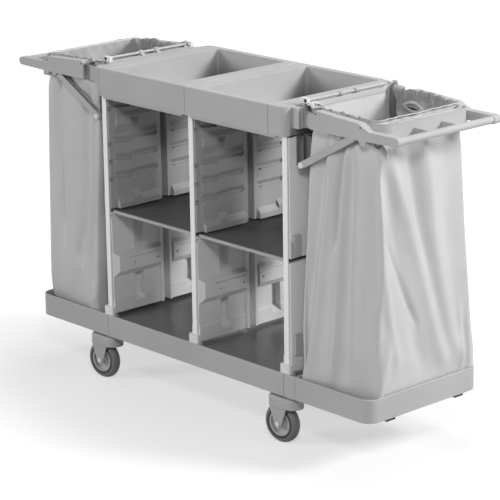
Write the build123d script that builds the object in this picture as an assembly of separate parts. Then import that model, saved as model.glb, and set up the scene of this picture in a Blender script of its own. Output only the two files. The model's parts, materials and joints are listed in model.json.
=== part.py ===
from build123d import *
import os

# Maid trolley: a moulded base on four swivel casters, a cabinet of posts, wall panels and shelves,
# two top trays, and at each end a bag holder that folds up against the cabinet.
# Millimetres. X runs along the length, -Y is the front and Z is up.
# The origin lies on the floor under the middle.

os.makedirs("parts", exist_ok=True)

# Casters
WHEEL_DIAMETER = 125.0
WHEEL_WIDTH = 32.0
SIDEWALL_DIAMETER = 104.0
HUB_DIAMETER = 78.0
HUB_WEB = 14.0
HUB_BOSS_DIAMETER = 22.0
CASTER_TRAIL = 42.0
CASTER_TOE = 6.0
CASTER_HEIGHT = 150.0
CASTER_END_INSET = 37.0
CASTER_SIDE_INSET = 29.0
YOKE_HEAD_HEIGHT = 32.0
YOKE_HEAD_WIDTH = 64.0
YOKE_TAIL_WIDTH = 52.0
YOKE_TAIL_REACH = 62.0
YOKE_LEG = 4.0
YOKE_LEG_TOP = 30.0
YOKE_LEG_TIP = 13.0
WHEEL_CLEARANCE = 4.0
AXLE_DIAMETER = 8.0
AXLE_HEAD = 3.0
STEM_DIAMETER = 16.0
STEM_LENGTH = 35.0
SOCKET_DIAMETER = 40.0

# Base and platforms
RIM_CLEARANCE = 7.0
RIM_HEIGHT = 72.0
RIM_ROUND = 3.0
BASE_LENGTH = 916.0
BASE_DEPTH = 470.0
BASE_WALL = 4.0
DECK_DROP = 12.0
DECK_THICKNESS = 5.0
FLOOR_PANEL = 5.0
FLOOR_GAP = 1.0
CORNER_BLOCK = 48.0
PLATFORM_LENGTH = 308.0
PLATFORM_STEP = 1.0
PLATFORM_CORNER = 40.0
PLATFORM_FLOOR_RISE = 6.0
PLATFORM_FLOOR = 4.0
PAD_WIDTH = 36.0
PAD_LENGTH = 26.0
PAD_HEIGHT = 6.0
PAD_INSET = 89.0

# Posts and wall panels
POST_END_INSET = 47.0
POST_SIDE_INSET = 12.0
POST_WIDTH = 20.0
POST_DEPTH = 6.0
POST_ROUND = 2.0
FOOT_WIDTH = 42.0
FOOT_HEIGHT = 27.0
FOOT_FLOOR = 4.0
FOOT_WALL = 8.0
FOOT_ROUND = 5.0
POST_SEAT = 48.0
WALL_THICKNESS = 30.0
WALL_GAP = 26.0
WALL_TONGUE = 3.0
WALL_LIFT = 4.0
WALL_AIR = 7.0
WALL_BAND = 12.0
PAD_REACH = 9.0
RAIL_REACH = 15.0
LEDGE_REACH = 21.0
RELIEF_MARGIN = 20.0
RELIEF_REAR = 28.0
STRIP_WIDTH = 10.0
GROOVE_DEPTH = 8.0
GROOVE_HEIGHT = 8.0
GROOVE_TAIL_HEIGHT = 5.0
GROOVE_DIP = 6.5
GROOVE_BREAK = 135.0
GROOVE_SLOPE = 14.0
HOLE_DIAMETER = 7.5
HOLE_DROP = 3.0
HOLE_REAR = 40.5
POCKET_WIDTH = 12.0
POCKET_HEIGHT = 13.0
POCKET_DROP = 8.5
POCKET_DEPTH = 8.0
TAB_FRONT = 139.0
TAB_REAR = 108.0
TAB_RISE = 14.0
NOTCH_RISE = 17.0
UPPER_LEDGE = 16.0
UPPER_LEDGE_SLOPE = 18.0
RUNNER_RISE = 102.5
RUNNER_STEP = 57.0
RUNNER_STEPS = (0, 1, 2, 4)
UPPER_RAIL_DROP = 94.0
UPPER_RAIL_FACE = 23.0
UPPER_RAIL_SLOPE = 15.0
UPPER_RAIL_UNDERCUT = 29.0
UPPER_VEE = 14.0
LOWER_RAIL_RISE = 138.0
LOWER_RAIL_FACE = 51.0
LOWER_RAIL_SLOPE = 12.0
LOWER_RAIL_UNDERCUT = 19.0
RAIL_HOLE_DROP = 32.0
RAIL_HOLES_Y = (137.0, 42.0)
RAIL_LINE_DROP = 12.0
RAIL_LINE_HEIGHT = 4.0
RAIL_LINE_DEPTH = 4.0
RAIL_LINE_FRONT = 162.0
RAIL_LINE_REAR = 37.0
SKIRTING_RISE = 47.0
SKIRTING_STEP = 3.0
RIB_FRONT = 128.0
RIB_REAR = 90.0
RIB_POCKET_DEPTH = 24.0
RIB_POCKET_RISE = 25.0
RIB_POCKET_FOOT = 17.0
CLIP_THICKNESS = 10.0
CLIP_WIDTH = 28.0
CLIP_HEIGHT = 64.0
CLIP_LIFTS = (6.0, 52.0)
CLIP_INSET = 9.0
POST_CLIP_WIDTH = 8.0
POST_CLIP_THICKNESS = 4.0
POST_CLIP_HEIGHT = 50.0

# Shelves
SHELF_HEIGHT = 568.0
SHELF_THICKNESS = 8.0
SHELF_INSET = 10.0
SHELF_EDGE = 5.0
SHELF_EDGE_DROP = 2.0
SHELF_EDGE_GAP = 3.0
SHELF_SIDE_GAP = 1.0
SHELF_AIR = 6.0

# Top trays
TRAY_TOP = 1040.0
TRAY_END_GAP = 7.0
TRAY_SEAM = 1.6
TRAY_FRONT_GAP = 17.0
TRAY_WALL = 4.0
TRAY_CORNER = 25.0
TRAY_ROUND = 3.0
FASCIA_HEIGHT = 88.0
BIN_MARGIN_INNER = 50.0
BIN_MARGIN_OUTER = 70.0
BIN_MARGIN_FRONT = 25.0
BIN_DEPTH = 98.0
BIN_TAPER = 14.0
BIN_CORNER = 8.0
BIN_EDGE = 2.5
LIP_HEIGHT = 8.0
LIP_DEPTH = 7.0
SEAM_WIDTH = 1.8
SEAM_DEPTH = 2.5
FRONT_SEAM_INSET = 67.0
REAR_SEAM_INSET = 27.0

# Bag rail on the end of each tray
RAIL_DEPTH = 16.0
RAIL_HEIGHT = 32.0
RAIL_RISE = 4.0
RAIL_END_GAP = 10.0
ROD_DIAMETER = 8.0
ROD_REACH = 20.0
ROD_RISE = 12.0
KNUCKLE_DIAMETER = 15.0
KNUCKLE_WIDTH = 13.0
KNUCKLE_Y = 32.0
ROD_END = 12.0

# Folding bag holder
HINGE_REACH = 62.0
HINGE_DROP = 40.0
HINGE_PIN_DIAMETER = 12.0
HUB_RADIUS = 24.0
BRACKET_DEPTH = 29.0
BRACKET_ROUND = 12.0
BRACKET_TOP_DROP = 4.0
BRACKET_LOW_DROP = 64.0
BRACKET_SLOT = 5.0
BRACKET_SLOT_DEPTH = 9.0
EAR_THICKNESS = 7.7
EAR_GAP = 0.3
ARM_INSET = 58.0
ARM_SKIN = 6.0
STAY_CHANNEL = 15.0
ARM_OUTER_SKIN = 5.0
ARM_ROOT_REACH = 29.0
ARM_ROOT_CHAMFER = 8.0
ARM_RISE = 40.0
ARM_FALL = 18.0
ARM_TOP_WALL = 4.0
ARM_SHOULDER_X = 206.0
ARM_SHOULDER_RISE = 30.0
ARM_NECK_X = 248.0
ARM_NECK_RISE = 11.0
ARM_CHANNEL_END = 206.0
HANDLE_REACH = 349.0
HANDLE_DROP = 2.0
HANDLE_DIAMETER = 22.0
NOSE_RADIUS = 13.0
GUSSET_Y = 57.0
GUSSET_THICKNESS = 6.0
GUSSET_RISE = 6.0
BEAM_REACH = 243.0
BEAM_WIDTH = 33.0
BEAM_RISE = 20.0
BEAM_FALL = 16.0
BEAM_WALL = 4.0
BEAM_CORNER = 45.0
BEAM_LEG = 46.0
BEAM_LEG_WIDTH = 10.0
BEAM_LIP = 3.0
BEAM_LIP_RISE = 5.0
HOOK_X = 206.0
HOOK_LENGTH = 28.0
HOOK_DROP = 14.0
STAY_TOP_X = 179.0
STAY_TOP_DROP = 16.0
STAY_FOOT_X = -28.0
STAY_FOOT_DROP = 130.0
STAY_WIDTH = 20.0
STAY_GAP = 1.0
STAY_WALL = 2.5
STAY_PIN_DIAMETER = 8.0
STAY_PIN_SEAT = 2.5
STAY_BOSS_RADIUS = 11.0
STAY_SHOE_REACH = 12.0
KNOB_DIAMETER = 18.0
KNOB_THICKNESS = 7.0
GUIDE_WIDTH = 52.0
GUIDE_HEIGHT = 93.0
GUIDE_DROP = 89.0
GUIDE_PLATE = 4.0
GUIDE_LIP = 8.0
GUIDE_LIP_WIDTH = 29.0

# Bag clamp
CLAMP_X = 36.0
CLAMP_RISE = 31.0
CLAMP_THICKNESS = 6.0
CLAMP_SEAT_GAP = 0.3
CLAMP_SIDE_GAP = 1.0
CLAMP_SIDE_WIDTH = 8.0
CLAMP_END_WIDTH = 12.0
CLAMP_LIP_GAP = 2.0
CLAMP_ROOT = 20.0
CLAMP_CORNER = 66.0
CLAMP_BAR_RISE = 2.0
CLAMP_BAR_ROUND = 3.0
CLAMP_EYE_RADIUS = 6.5
CLAMP_PIN_DIAMETER = 6.0
LATCH_X = 214.0
LATCH_RISE = 19.0

# Laundry bags
BAG_WALL = 3.0
BAG_CORNER = 30.0
BAG_BASE_GAP_INNER = 8.0
BAG_BASE_GAP_OUTER = 10.0
BAG_BASE_GAP_SIDE = 24.0
BAG_MOUTH_GAP = 10.0
BAG_MOUTH_SIDE_GAP = 14.0
BAG_SEAT_GAP = 0.3

# Fits
RUNNING_FIT = 0.05
SWIVEL_GAP = 0.3
HUB_GAP = 0.5

# Heights and places that follow from the sizes above
WHEEL_RADIUS = WHEEL_DIAMETER / 2
RIM_LOW = CASTER_HEIGHT + RIM_CLEARANCE
RIM_TOP = RIM_LOW + RIM_HEIGHT
DECK_TOP = RIM_TOP - DECK_DROP
DECK_LOW = DECK_TOP - DECK_THICKNESS
BASE_END = BASE_LENGTH / 2
BASE_FRONT = BASE_DEPTH / 2
CASTER_X = BASE_END - CASTER_END_INSET
CASTER_Y = BASE_FRONT - CASTER_SIDE_INSET
PLATFORM_END = BASE_END + PLATFORM_LENGTH
PLATFORM_FRONT = BASE_FRONT - PLATFORM_STEP
PLATFORM_TOP = RIM_LOW + PLATFORM_FLOOR_RISE + PLATFORM_FLOOR
POST_SPACING = BASE_END - POST_END_INSET
POST_OUTER_Y = BASE_FRONT - POST_SIDE_INSET
POST_INNER_Y = POST_OUTER_Y - POST_DEPTH
POST_XS = (-POST_SPACING, 0.0, POST_SPACING)
SHELF_TOP = SHELF_HEIGHT + SHELF_THICKNESS
SHELF_FRONT = POST_INNER_Y - SHELF_INSET
TRAY_UNDER = TRAY_TOP - TRAY_WALL
FASCIA_LOW = TRAY_TOP - FASCIA_HEIGHT
TRAY_LENGTH = POST_SPACING + POST_WIDTH / 2 + TRAY_END_GAP + TRAY_WALL
TRAY_FRONT = POST_OUTER_Y + TRAY_FRONT_GAP + TRAY_WALL
LOWER_WALL = (RIM_TOP + WALL_LIFT, SHELF_HEIGHT)
UPPER_WALL = (SHELF_TOP + SHELF_AIR, FASCIA_LOW - WALL_AIR)
WALL_BODY = WALL_THICKNESS / 2
WALL_PAD = WALL_BODY + PAD_REACH
WALL_FACE = WALL_BODY + RAIL_REACH
RELIEF_FRONT = POST_INNER_Y - RELIEF_MARGIN
HINGE_X = TRAY_LENGTH + HINGE_REACH
HINGE_Z = TRAY_TOP - HINGE_DROP
ARM_ROOT = HINGE_X + ARM_ROOT_REACH
ARM_INNER_Y = TRAY_FRONT - ARM_INSET
RAIL_HALF = ARM_INNER_Y - RAIL_END_GAP
CHANNEL_Y = ARM_INNER_Y + ARM_SKIN
OUTER_SKIN_Y = CHANNEL_Y + STAY_CHANNEL
ARM_OUTER_Y = OUTER_SKIN_Y + ARM_OUTER_SKIN
STAY_IN_Y = CHANNEL_Y + STAY_GAP
STAY_OUT_Y = OUTER_SKIN_Y - STAY_GAP
EAR_OUTER_Y = ARM_INNER_Y - EAR_GAP
EAR_INNER_Y = EAR_OUTER_Y - EAR_THICKNESS
HANDLE_X = HINGE_X + HANDLE_REACH
HANDLE_Z = HINGE_Z - HANDLE_DROP
BEAM_X = HINGE_X + BEAM_REACH
BEAM_FACE = BEAM_X + BEAM_WIDTH
BEAM_TOP = HINGE_Z + BEAM_RISE
BEAM_LOW = HINGE_Z - BEAM_FALL
STAY_TOP = (HINGE_X + STAY_TOP_X, HINGE_Z - STAY_TOP_DROP)
STAY_FOOT = (HINGE_X + STAY_FOOT_X, HINGE_Z - STAY_FOOT_DROP)
CLAMP_PIN = (HINGE_X + CLAMP_X, HINGE_Z + CLAMP_RISE)
CLAMP_OUTER_Y = ARM_INNER_Y - CLAMP_SIDE_GAP
CLAMP_INNER_Y = CLAMP_OUTER_Y - CLAMP_SIDE_WIDTH
LATCH_PIN = (HINGE_X + LATCH_X, HINGE_Z + LATCH_RISE)
ROD = (TRAY_LENGTH + ROD_REACH, TRAY_TOP + ROD_RISE)


def block(x, y, z):
    """A box between pairs of limits."""
    limits = (x, y, z)
    centre = [(low + high) / 2 for low, high in limits]
    return Pos(*centre) * Box(*[abs(high - low) for low, high in limits])


def slab(outline, y):
    """A flat piece with its outline in X and Z, between two depths."""
    return Pos(0, max(y), 0) * extrude(Plane.XZ * outline, amount=abs(y[1] - y[0]))


def polygon(*points):
    """A face with straight sides."""
    return make_face(Polyline(*points, close=True))


def disc(place, radius):
    """A round face about a place in X and Z."""
    return Pos(*place) * Circle(radius)


def rod(place, diameter, y):
    """A round bar along Y."""
    return slab(disc(place, diameter / 2), y)


def hull(*discs):
    """The outline of a band drawn tight around some round faces."""
    return make_hull(ShapeList([edge for face in discs for edge in face.edges()]))


def rear(shape):
    """The same piece at the back."""
    return mirror(shape, about=Plane.XZ)


def left(shape):
    """The same piece at the left end."""
    return mirror(shape, about=Plane.YZ)


def front_and_rear(shape):
    """A piece and its copy at the back."""
    return [shape, rear(shape)]


def four_corners(shape):
    """A piece at the front right and its three copies."""
    pair = front_and_rear(shape)
    return pair + [left(piece) for piece in pair]


def save(node, *shapes):
    """Write the solids of one node."""
    solids = [solid for shape in shapes for solid in shape.solids()]
    export_step(Compound(solids) if len(solids) > 1 else solids[0], f"parts/{node}.step")


def rounded_pad(x, half_depth, radius, corners):
    """A rectangle in X and Y whose corners at one or both ends are round."""
    plain = Pos(sum(x) / 2, 0) * Rectangle(x[1] - x[0], 2 * half_depth)
    ends = plain.vertices().group_by(Axis.X)
    return fillet(ends[-1] if corners == "outer" else plain.vertices(), radius)


def prism(outline, z):
    """A plan outline raised between two heights."""
    return Pos(0, 0, z[0]) * extrude(outline, amount=z[1] - z[0])


def round_top(shape, radius):
    """Round the edges of the top face."""
    return fillet(shape.edges().group_by(Axis.Z)[-1], radius)


# Base


def base_frame():
    frame = block((-BASE_END, BASE_END), (-BASE_FRONT, BASE_FRONT), (RIM_LOW, RIM_TOP))
    frame = round_top(frame, RIM_ROUND)
    inside_x = (-BASE_END + BASE_WALL, BASE_END - BASE_WALL)
    inside_y = (-BASE_FRONT + BASE_WALL, BASE_FRONT - BASE_WALL)
    frame -= block(inside_x, inside_y, (DECK_TOP, RIM_TOP))
    frame -= block(inside_x, inside_y, (RIM_LOW, DECK_LOW))
    for x in POST_XS:
        seat_y = (-BASE_FRONT + BASE_WALL, -POST_INNER_Y + FOOT_WALL)
        seat = block((x - POST_SEAT / 2, x + POST_SEAT / 2), seat_y, (DECK_TOP, RIM_TOP))
        frame += seat + rear(seat)
    seam_x = BASE_END - CORNER_BLOCK
    seam_y = (-BASE_FRONT, -BASE_FRONT + SEAM_DEPTH)
    seam = block((seam_x - SEAM_WIDTH / 2, seam_x + SEAM_WIDTH / 2), seam_y, (RIM_LOW, RIM_TOP))
    for line in four_corners(seam):
        frame -= line
    return frame


def base_floor():
    """A panel on each half of the deck, notched round the seats of the posts."""
    half_depth = BASE_FRONT - BASE_WALL - FLOOR_GAP
    x = (FLOOR_GAP / 2, BASE_END - BASE_WALL - FLOOR_GAP)
    z = (DECK_TOP, DECK_TOP + FLOOR_PANEL)
    panel = block(x, (-half_depth, half_depth), z)
    reach = POST_SEAT / 2 + FLOOR_GAP
    notch_y = (-BASE_FRONT, -POST_INNER_Y + FOOT_WALL + FLOOR_GAP)
    for post_x in (0, POST_SPACING):
        notch = block((post_x - reach, post_x + reach), notch_y, z)
        panel -= [notch, rear(notch)]
    return [panel, left(panel)]


def platform():
    outline = rounded_pad((BASE_END, PLATFORM_END), PLATFORM_FRONT, PLATFORM_CORNER, "outer")
    shell = prism(outline, (RIM_LOW, RIM_TOP))
    shell = round_top(shell, RIM_ROUND)
    inside_x = (BASE_END + BASE_WALL, PLATFORM_END - BASE_WALL)
    inside = rounded_pad(inside_x, PLATFORM_FRONT - BASE_WALL, PLATFORM_CORNER - BASE_WALL, "outer")
    shell -= prism(inside, (PLATFORM_TOP, RIM_TOP))
    shell -= prism(inside, (RIM_LOW, PLATFORM_TOP - PLATFORM_FLOOR))
    return shell


def platform_pad():
    middle = PAD_INSET - PLATFORM_FRONT
    y = (middle - PAD_WIDTH / 2, middle + PAD_WIDTH / 2)
    pad = block((PLATFORM_END - PAD_LENGTH, PLATFORM_END), y, (RIM_LOW - PAD_HEIGHT, RIM_LOW))
    plug_x = (PLATFORM_END - PAD_LENGTH, PLATFORM_END - BASE_WALL)
    return pad + block(plug_x, y, (RIM_LOW - PAD_HEIGHT, RIM_LOW + PLATFORM_FLOOR_RISE))


def caster_socket():
    low = CASTER_HEIGHT + SWIVEL_GAP
    bore = STEM_DIAMETER / 2 + RUNNING_FIT
    socket = prism(Circle(SOCKET_DIAMETER / 2), (low, DECK_LOW))
    socket -= prism(Circle(bore), (low, CASTER_HEIGHT + STEM_LENGTH + SWIVEL_GAP))
    return Pos(CASTER_X, -CASTER_Y, 0) * socket


# Casters, each drawn with its swivel axis on Z and trailing along +X


def yoke():
    wheel_z = WHEEL_RADIUS
    head_low = CASTER_HEIGHT - YOKE_HEAD_HEIGHT
    leg_in = WHEEL_WIDTH / 2 + WHEEL_CLEARANCE
    plan = hull(Circle(YOKE_HEAD_WIDTH / 2), Pos(YOKE_TAIL_REACH, 0) * Circle(YOKE_TAIL_WIDTH / 2))
    head = round_top(prism(plan, (head_low, CASTER_HEIGHT)), YOKE_HEAD_HEIGHT / 4)
    tip = disc((CASTER_TRAIL, wheel_z), YOKE_LEG_TIP)
    corner = YOKE_LEG
    shoulders = [disc((CASTER_TRAIL + side * YOKE_LEG_TOP, head_low + corner), corner) for side in (-1, 1)]
    leg = slab(hull(tip, *shoulders), (-leg_in - YOKE_LEG, -leg_in))
    leg -= rod((CASTER_TRAIL, wheel_z), AXLE_DIAMETER + 2 * RUNNING_FIT, (-leg_in - YOKE_LEG, -leg_in))
    well = rod((CASTER_TRAIL, wheel_z), WHEEL_DIAMETER + 2 * WHEEL_CLEARANCE, (-leg_in, leg_in))
    stem = prism(Circle(STEM_DIAMETER / 2), (CASTER_HEIGHT, CASTER_HEIGHT + STEM_LENGTH))
    return (head - well) + leg + rear(leg) + stem


def axle():
    place = (CASTER_TRAIL, WHEEL_RADIUS)
    outside = WHEEL_WIDTH / 2 + WHEEL_CLEARANCE + YOKE_LEG
    head = rod(place, 2 * AXLE_DIAMETER, (-outside - AXLE_HEAD, -outside))
    return rod(place, AXLE_DIAMETER, (-outside, outside)) + head + rear(head)


def wheel_hub():
    place = (CASTER_TRAIL, WHEEL_RADIUS)
    half = WHEEL_WIDTH / 2
    boss_half = half + WHEEL_CLEARANCE - HUB_GAP
    rim = rod(place, HUB_DIAMETER, (-half, half))
    hollow = rod(place, HUB_DIAMETER - 2 * YOKE_LEG, (-half, -HUB_WEB / 2))
    hub = rim - hollow - rear(hollow) + rod(place, HUB_BOSS_DIAMETER, (-boss_half, boss_half))
    return hub - rod(place, AXLE_DIAMETER + 2 * RUNNING_FIT, (-boss_half, boss_half))


def tyre():
    half = WHEEL_WIDTH / 2
    bore = HUB_DIAMETER / 2 + RUNNING_FIT
    shoulder = SIDEWALL_DIAMETER / 2
    crown = ThreePointArc((shoulder, half), (WHEEL_RADIUS, 0), (shoulder, -half))
    sides = Polyline((shoulder, -half), (bore, -half), (bore, half), (shoulder, half))
    ring = revolve(Plane.XZ * make_face([crown, sides]), axis=Axis.Z)
    return Pos(CASTER_TRAIL, 0, WHEEL_RADIUS) * Rot(90, 0, 0) * ring


def caster_place(x, y):
    """Where a caster stands, trailing to the left and a little outward."""
    return Pos(x, y, 0) * Rot(0, 0, 180 + (CASTER_TOE if y < 0 else -CASTER_TOE))


# Posts and wall panels


def post(x):
    z = (RIM_TOP + FOOT_FLOOR, TRAY_UNDER)
    bar = block((x - POST_WIDTH / 2, x + POST_WIDTH / 2), (-POST_OUTER_Y, -POST_INNER_Y), z)
    return fillet(bar.edges().filter_by(Axis.Z), POST_ROUND)


def post_foot(x):
    y = (-POST_OUTER_Y - FOOT_WALL, -POST_INNER_Y)
    foot = block((x - FOOT_WIDTH / 2, x + FOOT_WIDTH / 2), y, (RIM_TOP, RIM_TOP + FOOT_HEIGHT))
    foot = fillet(foot.edges().filter_by(Axis.Z).group_by(Axis.Y)[0], FOOT_ROUND)
    slot_z = (RIM_TOP + FOOT_FLOOR, RIM_TOP + FOOT_HEIGHT)
    return foot - block((x - POST_WIDTH / 2, x + POST_WIDTH / 2), (-POST_OUTER_Y, -POST_INNER_Y), slot_z)


def wall_blank(z, tongue_x):
    """The plain front half of a wall panel, standing about X = 0, with a tongue to the rear half."""
    y = (-POST_INNER_Y, -WALL_GAP / 2)
    return block((-WALL_BODY, WALL_BODY), y, z) + block(tongue_x, (-WALL_GAP / 2, 0), z)


def relief(outline, front=RELIEF_FRONT, back=RELIEF_REAR):
    """A piece of the relief on the +X face, between two distances from the middle."""
    return slab(outline, (-front, -back))


def pockets(heights):
    """Pockets in the front flange, open to the front."""
    x = (WALL_BODY - POCKET_DEPTH, WALL_BODY)
    y = (-POST_INNER_Y, -POST_INNER_Y + POCKET_WIDTH)
    return [block(x, y, (z - POCKET_HEIGHT / 2, z + POCKET_HEIGHT / 2)) for z in heights]


def hole(y, z, face):
    """A blind hole in a face of the panel."""
    drill = Pos(face - GROOVE_DEPTH, -y, z) * Rot(0, 90, 0)
    return drill * Cylinder(HOLE_DIAMETER / 2, GROOVE_DEPTH, align=(Align.CENTER, Align.CENTER, Align.MIN))


def groove(start, run, drop, height):
    """A stretch of a groove with a level foot and a sloping top, from a point of its middle line."""
    deep = WALL_PAD - GROOVE_DEPTH
    y, z = start
    low, high = z - height / 2, z + height / 2
    top = high + GROOVE_SLOPE
    outline = polygon((deep, low), (WALL_PAD, low), (WALL_PAD, top), (deep, high))
    along = Vector(0, run, -drop)
    return extrude(Plane.XZ.offset(-y) * outline, amount=along.length, dir=along)


def runner(z):
    """A groove that a box slides in: it dips from the front, then steps up to a level tail."""
    head = groove((-RELIEF_FRONT, z), RELIEF_FRONT - GROOVE_BREAK, GROOVE_DIP, GROOVE_HEIGHT)
    tail = groove((-GROOVE_BREAK, z), GROOVE_BREAK - RELIEF_REAR, 0, GROOVE_TAIL_HEIGHT)
    return [head, tail]


def strip(width, z):
    """The raised edge along the gap between the halves of a panel."""
    return block((0, WALL_PAD), (-WALL_GAP / 2 - width, -WALL_GAP / 2), z)


def upper_relief():
    """What is added to, cut from and sunk deep into the +X face of an upper panel."""
    low, high = UPPER_WALL
    ledge = low + UPPER_LEDGE
    slope = ledge + UPPER_LEDGE_SLOPE
    ledge_face = WALL_BODY + LEDGE_REACH
    rail = high - UPPER_RAIL_DROP
    rail_face = rail + UPPER_RAIL_FACE
    rail_top = rail_face + UPPER_RAIL_SLOPE
    vee = rail - UPPER_RAIL_UNDERCUT
    runners = [low + RUNNER_RISE + step * RUNNER_STEP for step in RUNNER_STEPS]
    profile = polygon((0, low), (ledge_face, low), (ledge_face, ledge), (WALL_PAD, slope),
                      (WALL_PAD, vee - UPPER_VEE), (WALL_BODY, vee), (WALL_FACE, rail),
                      (WALL_FACE, rail_face), (WALL_PAD, rail_top), (WALL_PAD, high), (0, high))
    tab = polygon((0, slope), (WALL_PAD, slope), (ledge_face, ledge), (ledge_face, ledge + TAB_RISE),
                  (WALL_PAD, slope + TAB_RISE), (0, slope + TAB_RISE))
    added = [relief(profile), relief(tab, TAB_FRONT, TAB_REAR)]
    added += [strip(RELIEF_REAR - WALL_GAP / 2, (low, high))]
    notch_top = rail + NOTCH_RISE
    notch = polygon((WALL_BODY, vee), (WALL_FACE, rail), (WALL_FACE, notch_top), (WALL_BODY, notch_top))
    cuts = [relief(notch, TAB_FRONT, TAB_REAR)]
    cuts += [stretch for z in runners for stretch in runner(z)]
    cuts += [hole(HOLE_REAR, z - HOLE_DROP, WALL_PAD) for z in runners]
    cuts += pockets([z - POCKET_DROP for z in runners])
    return added, cuts, []


def lower_relief():
    """What is added to, cut from and sunk deep into the +X face of a lower panel."""
    low, high = LOWER_WALL
    rail = low + LOWER_RAIL_RISE
    rail_top = rail + LOWER_RAIL_FACE
    above = rail_top + LOWER_RAIL_SLOPE
    under = rail - LOWER_RAIL_UNDERCUT
    band = high - WALL_BAND
    bar = polygon((0, under), (WALL_BODY, under), (WALL_FACE, rail),
                  (WALL_FACE, rail_top), (WALL_BODY, above), (0, above))
    front = -POST_INNER_Y
    end = polygon((WALL_BODY, front), (WALL_FACE, front), (WALL_FACE, front + RAIL_REACH))
    tapered = relief(bar, POST_INNER_Y) - prism(end, (under, above))
    step = WALL_BODY + SKIRTING_STEP
    skirting = block((0, step), (-POST_INNER_Y, -WALL_GAP / 2), (low, low + SKIRTING_RISE))
    added = [tapered, skirting, strip(STRIP_WIDTH, (low, high))]
    line_z = rail_top - RAIL_LINE_DROP
    line_top = line_z + RAIL_LINE_HEIGHT
    line_x = WALL_FACE - RAIL_LINE_DEPTH
    line = polygon((line_x, line_z), (WALL_FACE, line_z), (WALL_FACE, line_top), (line_x, line_top))
    cuts = [relief(line, RAIL_LINE_FRONT, RAIL_LINE_REAR)]
    cuts += [hole(y, rail_top - RAIL_HOLE_DROP, WALL_FACE) for y in RAIL_HOLES_Y]
    cuts += pockets([band])
    deep = WALL_BODY - RIB_POCKET_DEPTH
    sunk = []
    for outer, foot, head in ((WALL_BODY, above, band), (step, low + RIB_POCKET_RISE, under)):
        pocket = polygon((outer, foot), (deep, foot + RIB_POCKET_FOOT), (deep, head), (outer, head))
        sunk += [relief(pocket, RIB_FRONT, RIB_REAR)]
    return added, cuts, sunk


def wall_panel(x, z, shaped, both_faces, tongue_x):
    """Front and rear halves of one panel. Its relief looks to +X, and on the middle panel to -X too."""
    panel = wall_blank(z, tongue_x)
    added, cuts, sunk = shaped
    for side in (lambda piece: piece, left) if both_faces else (lambda piece: piece,):
        panel += [side(piece) for piece in added]
        panel -= [side(piece) for piece in cuts]
    panel -= sunk
    return [Pos(x, 0, 0) * half for half in front_and_rear(panel)]


def wall_clip(low):
    """A clip on the outer face of an end panel."""
    x = POST_SPACING + WALL_BODY
    y = (-POST_INNER_Y + CLIP_INSET, -POST_INNER_Y + CLIP_INSET + CLIP_WIDTH)
    return block((x, x + CLIP_THICKNESS), y, (low, low + CLIP_HEIGHT))


def post_clip():
    """A low clip beside an end post, above the shelf."""
    x = POST_SPACING + WALL_BODY
    low = UPPER_WALL[0]
    y = (-POST_INNER_Y, -POST_INNER_Y + POST_CLIP_WIDTH)
    return block((x, x + POST_CLIP_THICKNESS), y, (low, low + POST_CLIP_HEIGHT))


def shelf():
    x = (SHELF_SIDE_GAP, POST_SPACING - SHELF_SIDE_GAP)
    return block(x, (-SHELF_FRONT, SHELF_FRONT), (SHELF_HEIGHT, SHELF_TOP))


def shelf_edge():
    x = (WALL_BODY + SHELF_EDGE_GAP, POST_SPACING - WALL_BODY - SHELF_EDGE_GAP)
    y = (-SHELF_FRONT - SHELF_EDGE, -SHELF_FRONT)
    strip = block(x, y, (SHELF_HEIGHT - SHELF_EDGE_DROP, SHELF_TOP))
    return fillet(strip.edges().filter_by(Axis.X).group_by(Axis.Y)[0], SHELF_EDGE / 3)


# Top trays


def tub(inset, top, low):
    """The tapered inside of a tray's bin, or with an inset below zero its outside."""
    mouth_x = (BIN_MARGIN_INNER + inset, TRAY_LENGTH - BIN_MARGIN_OUTER - inset)
    mouth_y = TRAY_FRONT - BIN_MARGIN_FRONT - inset
    floor_x = (mouth_x[0] + BIN_TAPER, mouth_x[1] - BIN_TAPER)
    mouth = Pos(0, 0, top) * rounded_pad(mouth_x, mouth_y, BIN_CORNER, "all")
    floor = Pos(0, 0, low) * rounded_pad(floor_x, mouth_y - BIN_TAPER, BIN_CORNER, "all")
    return loft([floor, mouth])


def seam(x, y):
    """An upright joint line in the fascia."""
    return block((x - SEAM_WIDTH / 2, x + SEAM_WIDTH / 2), y, (FASCIA_LOW, TRAY_TOP))


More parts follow.
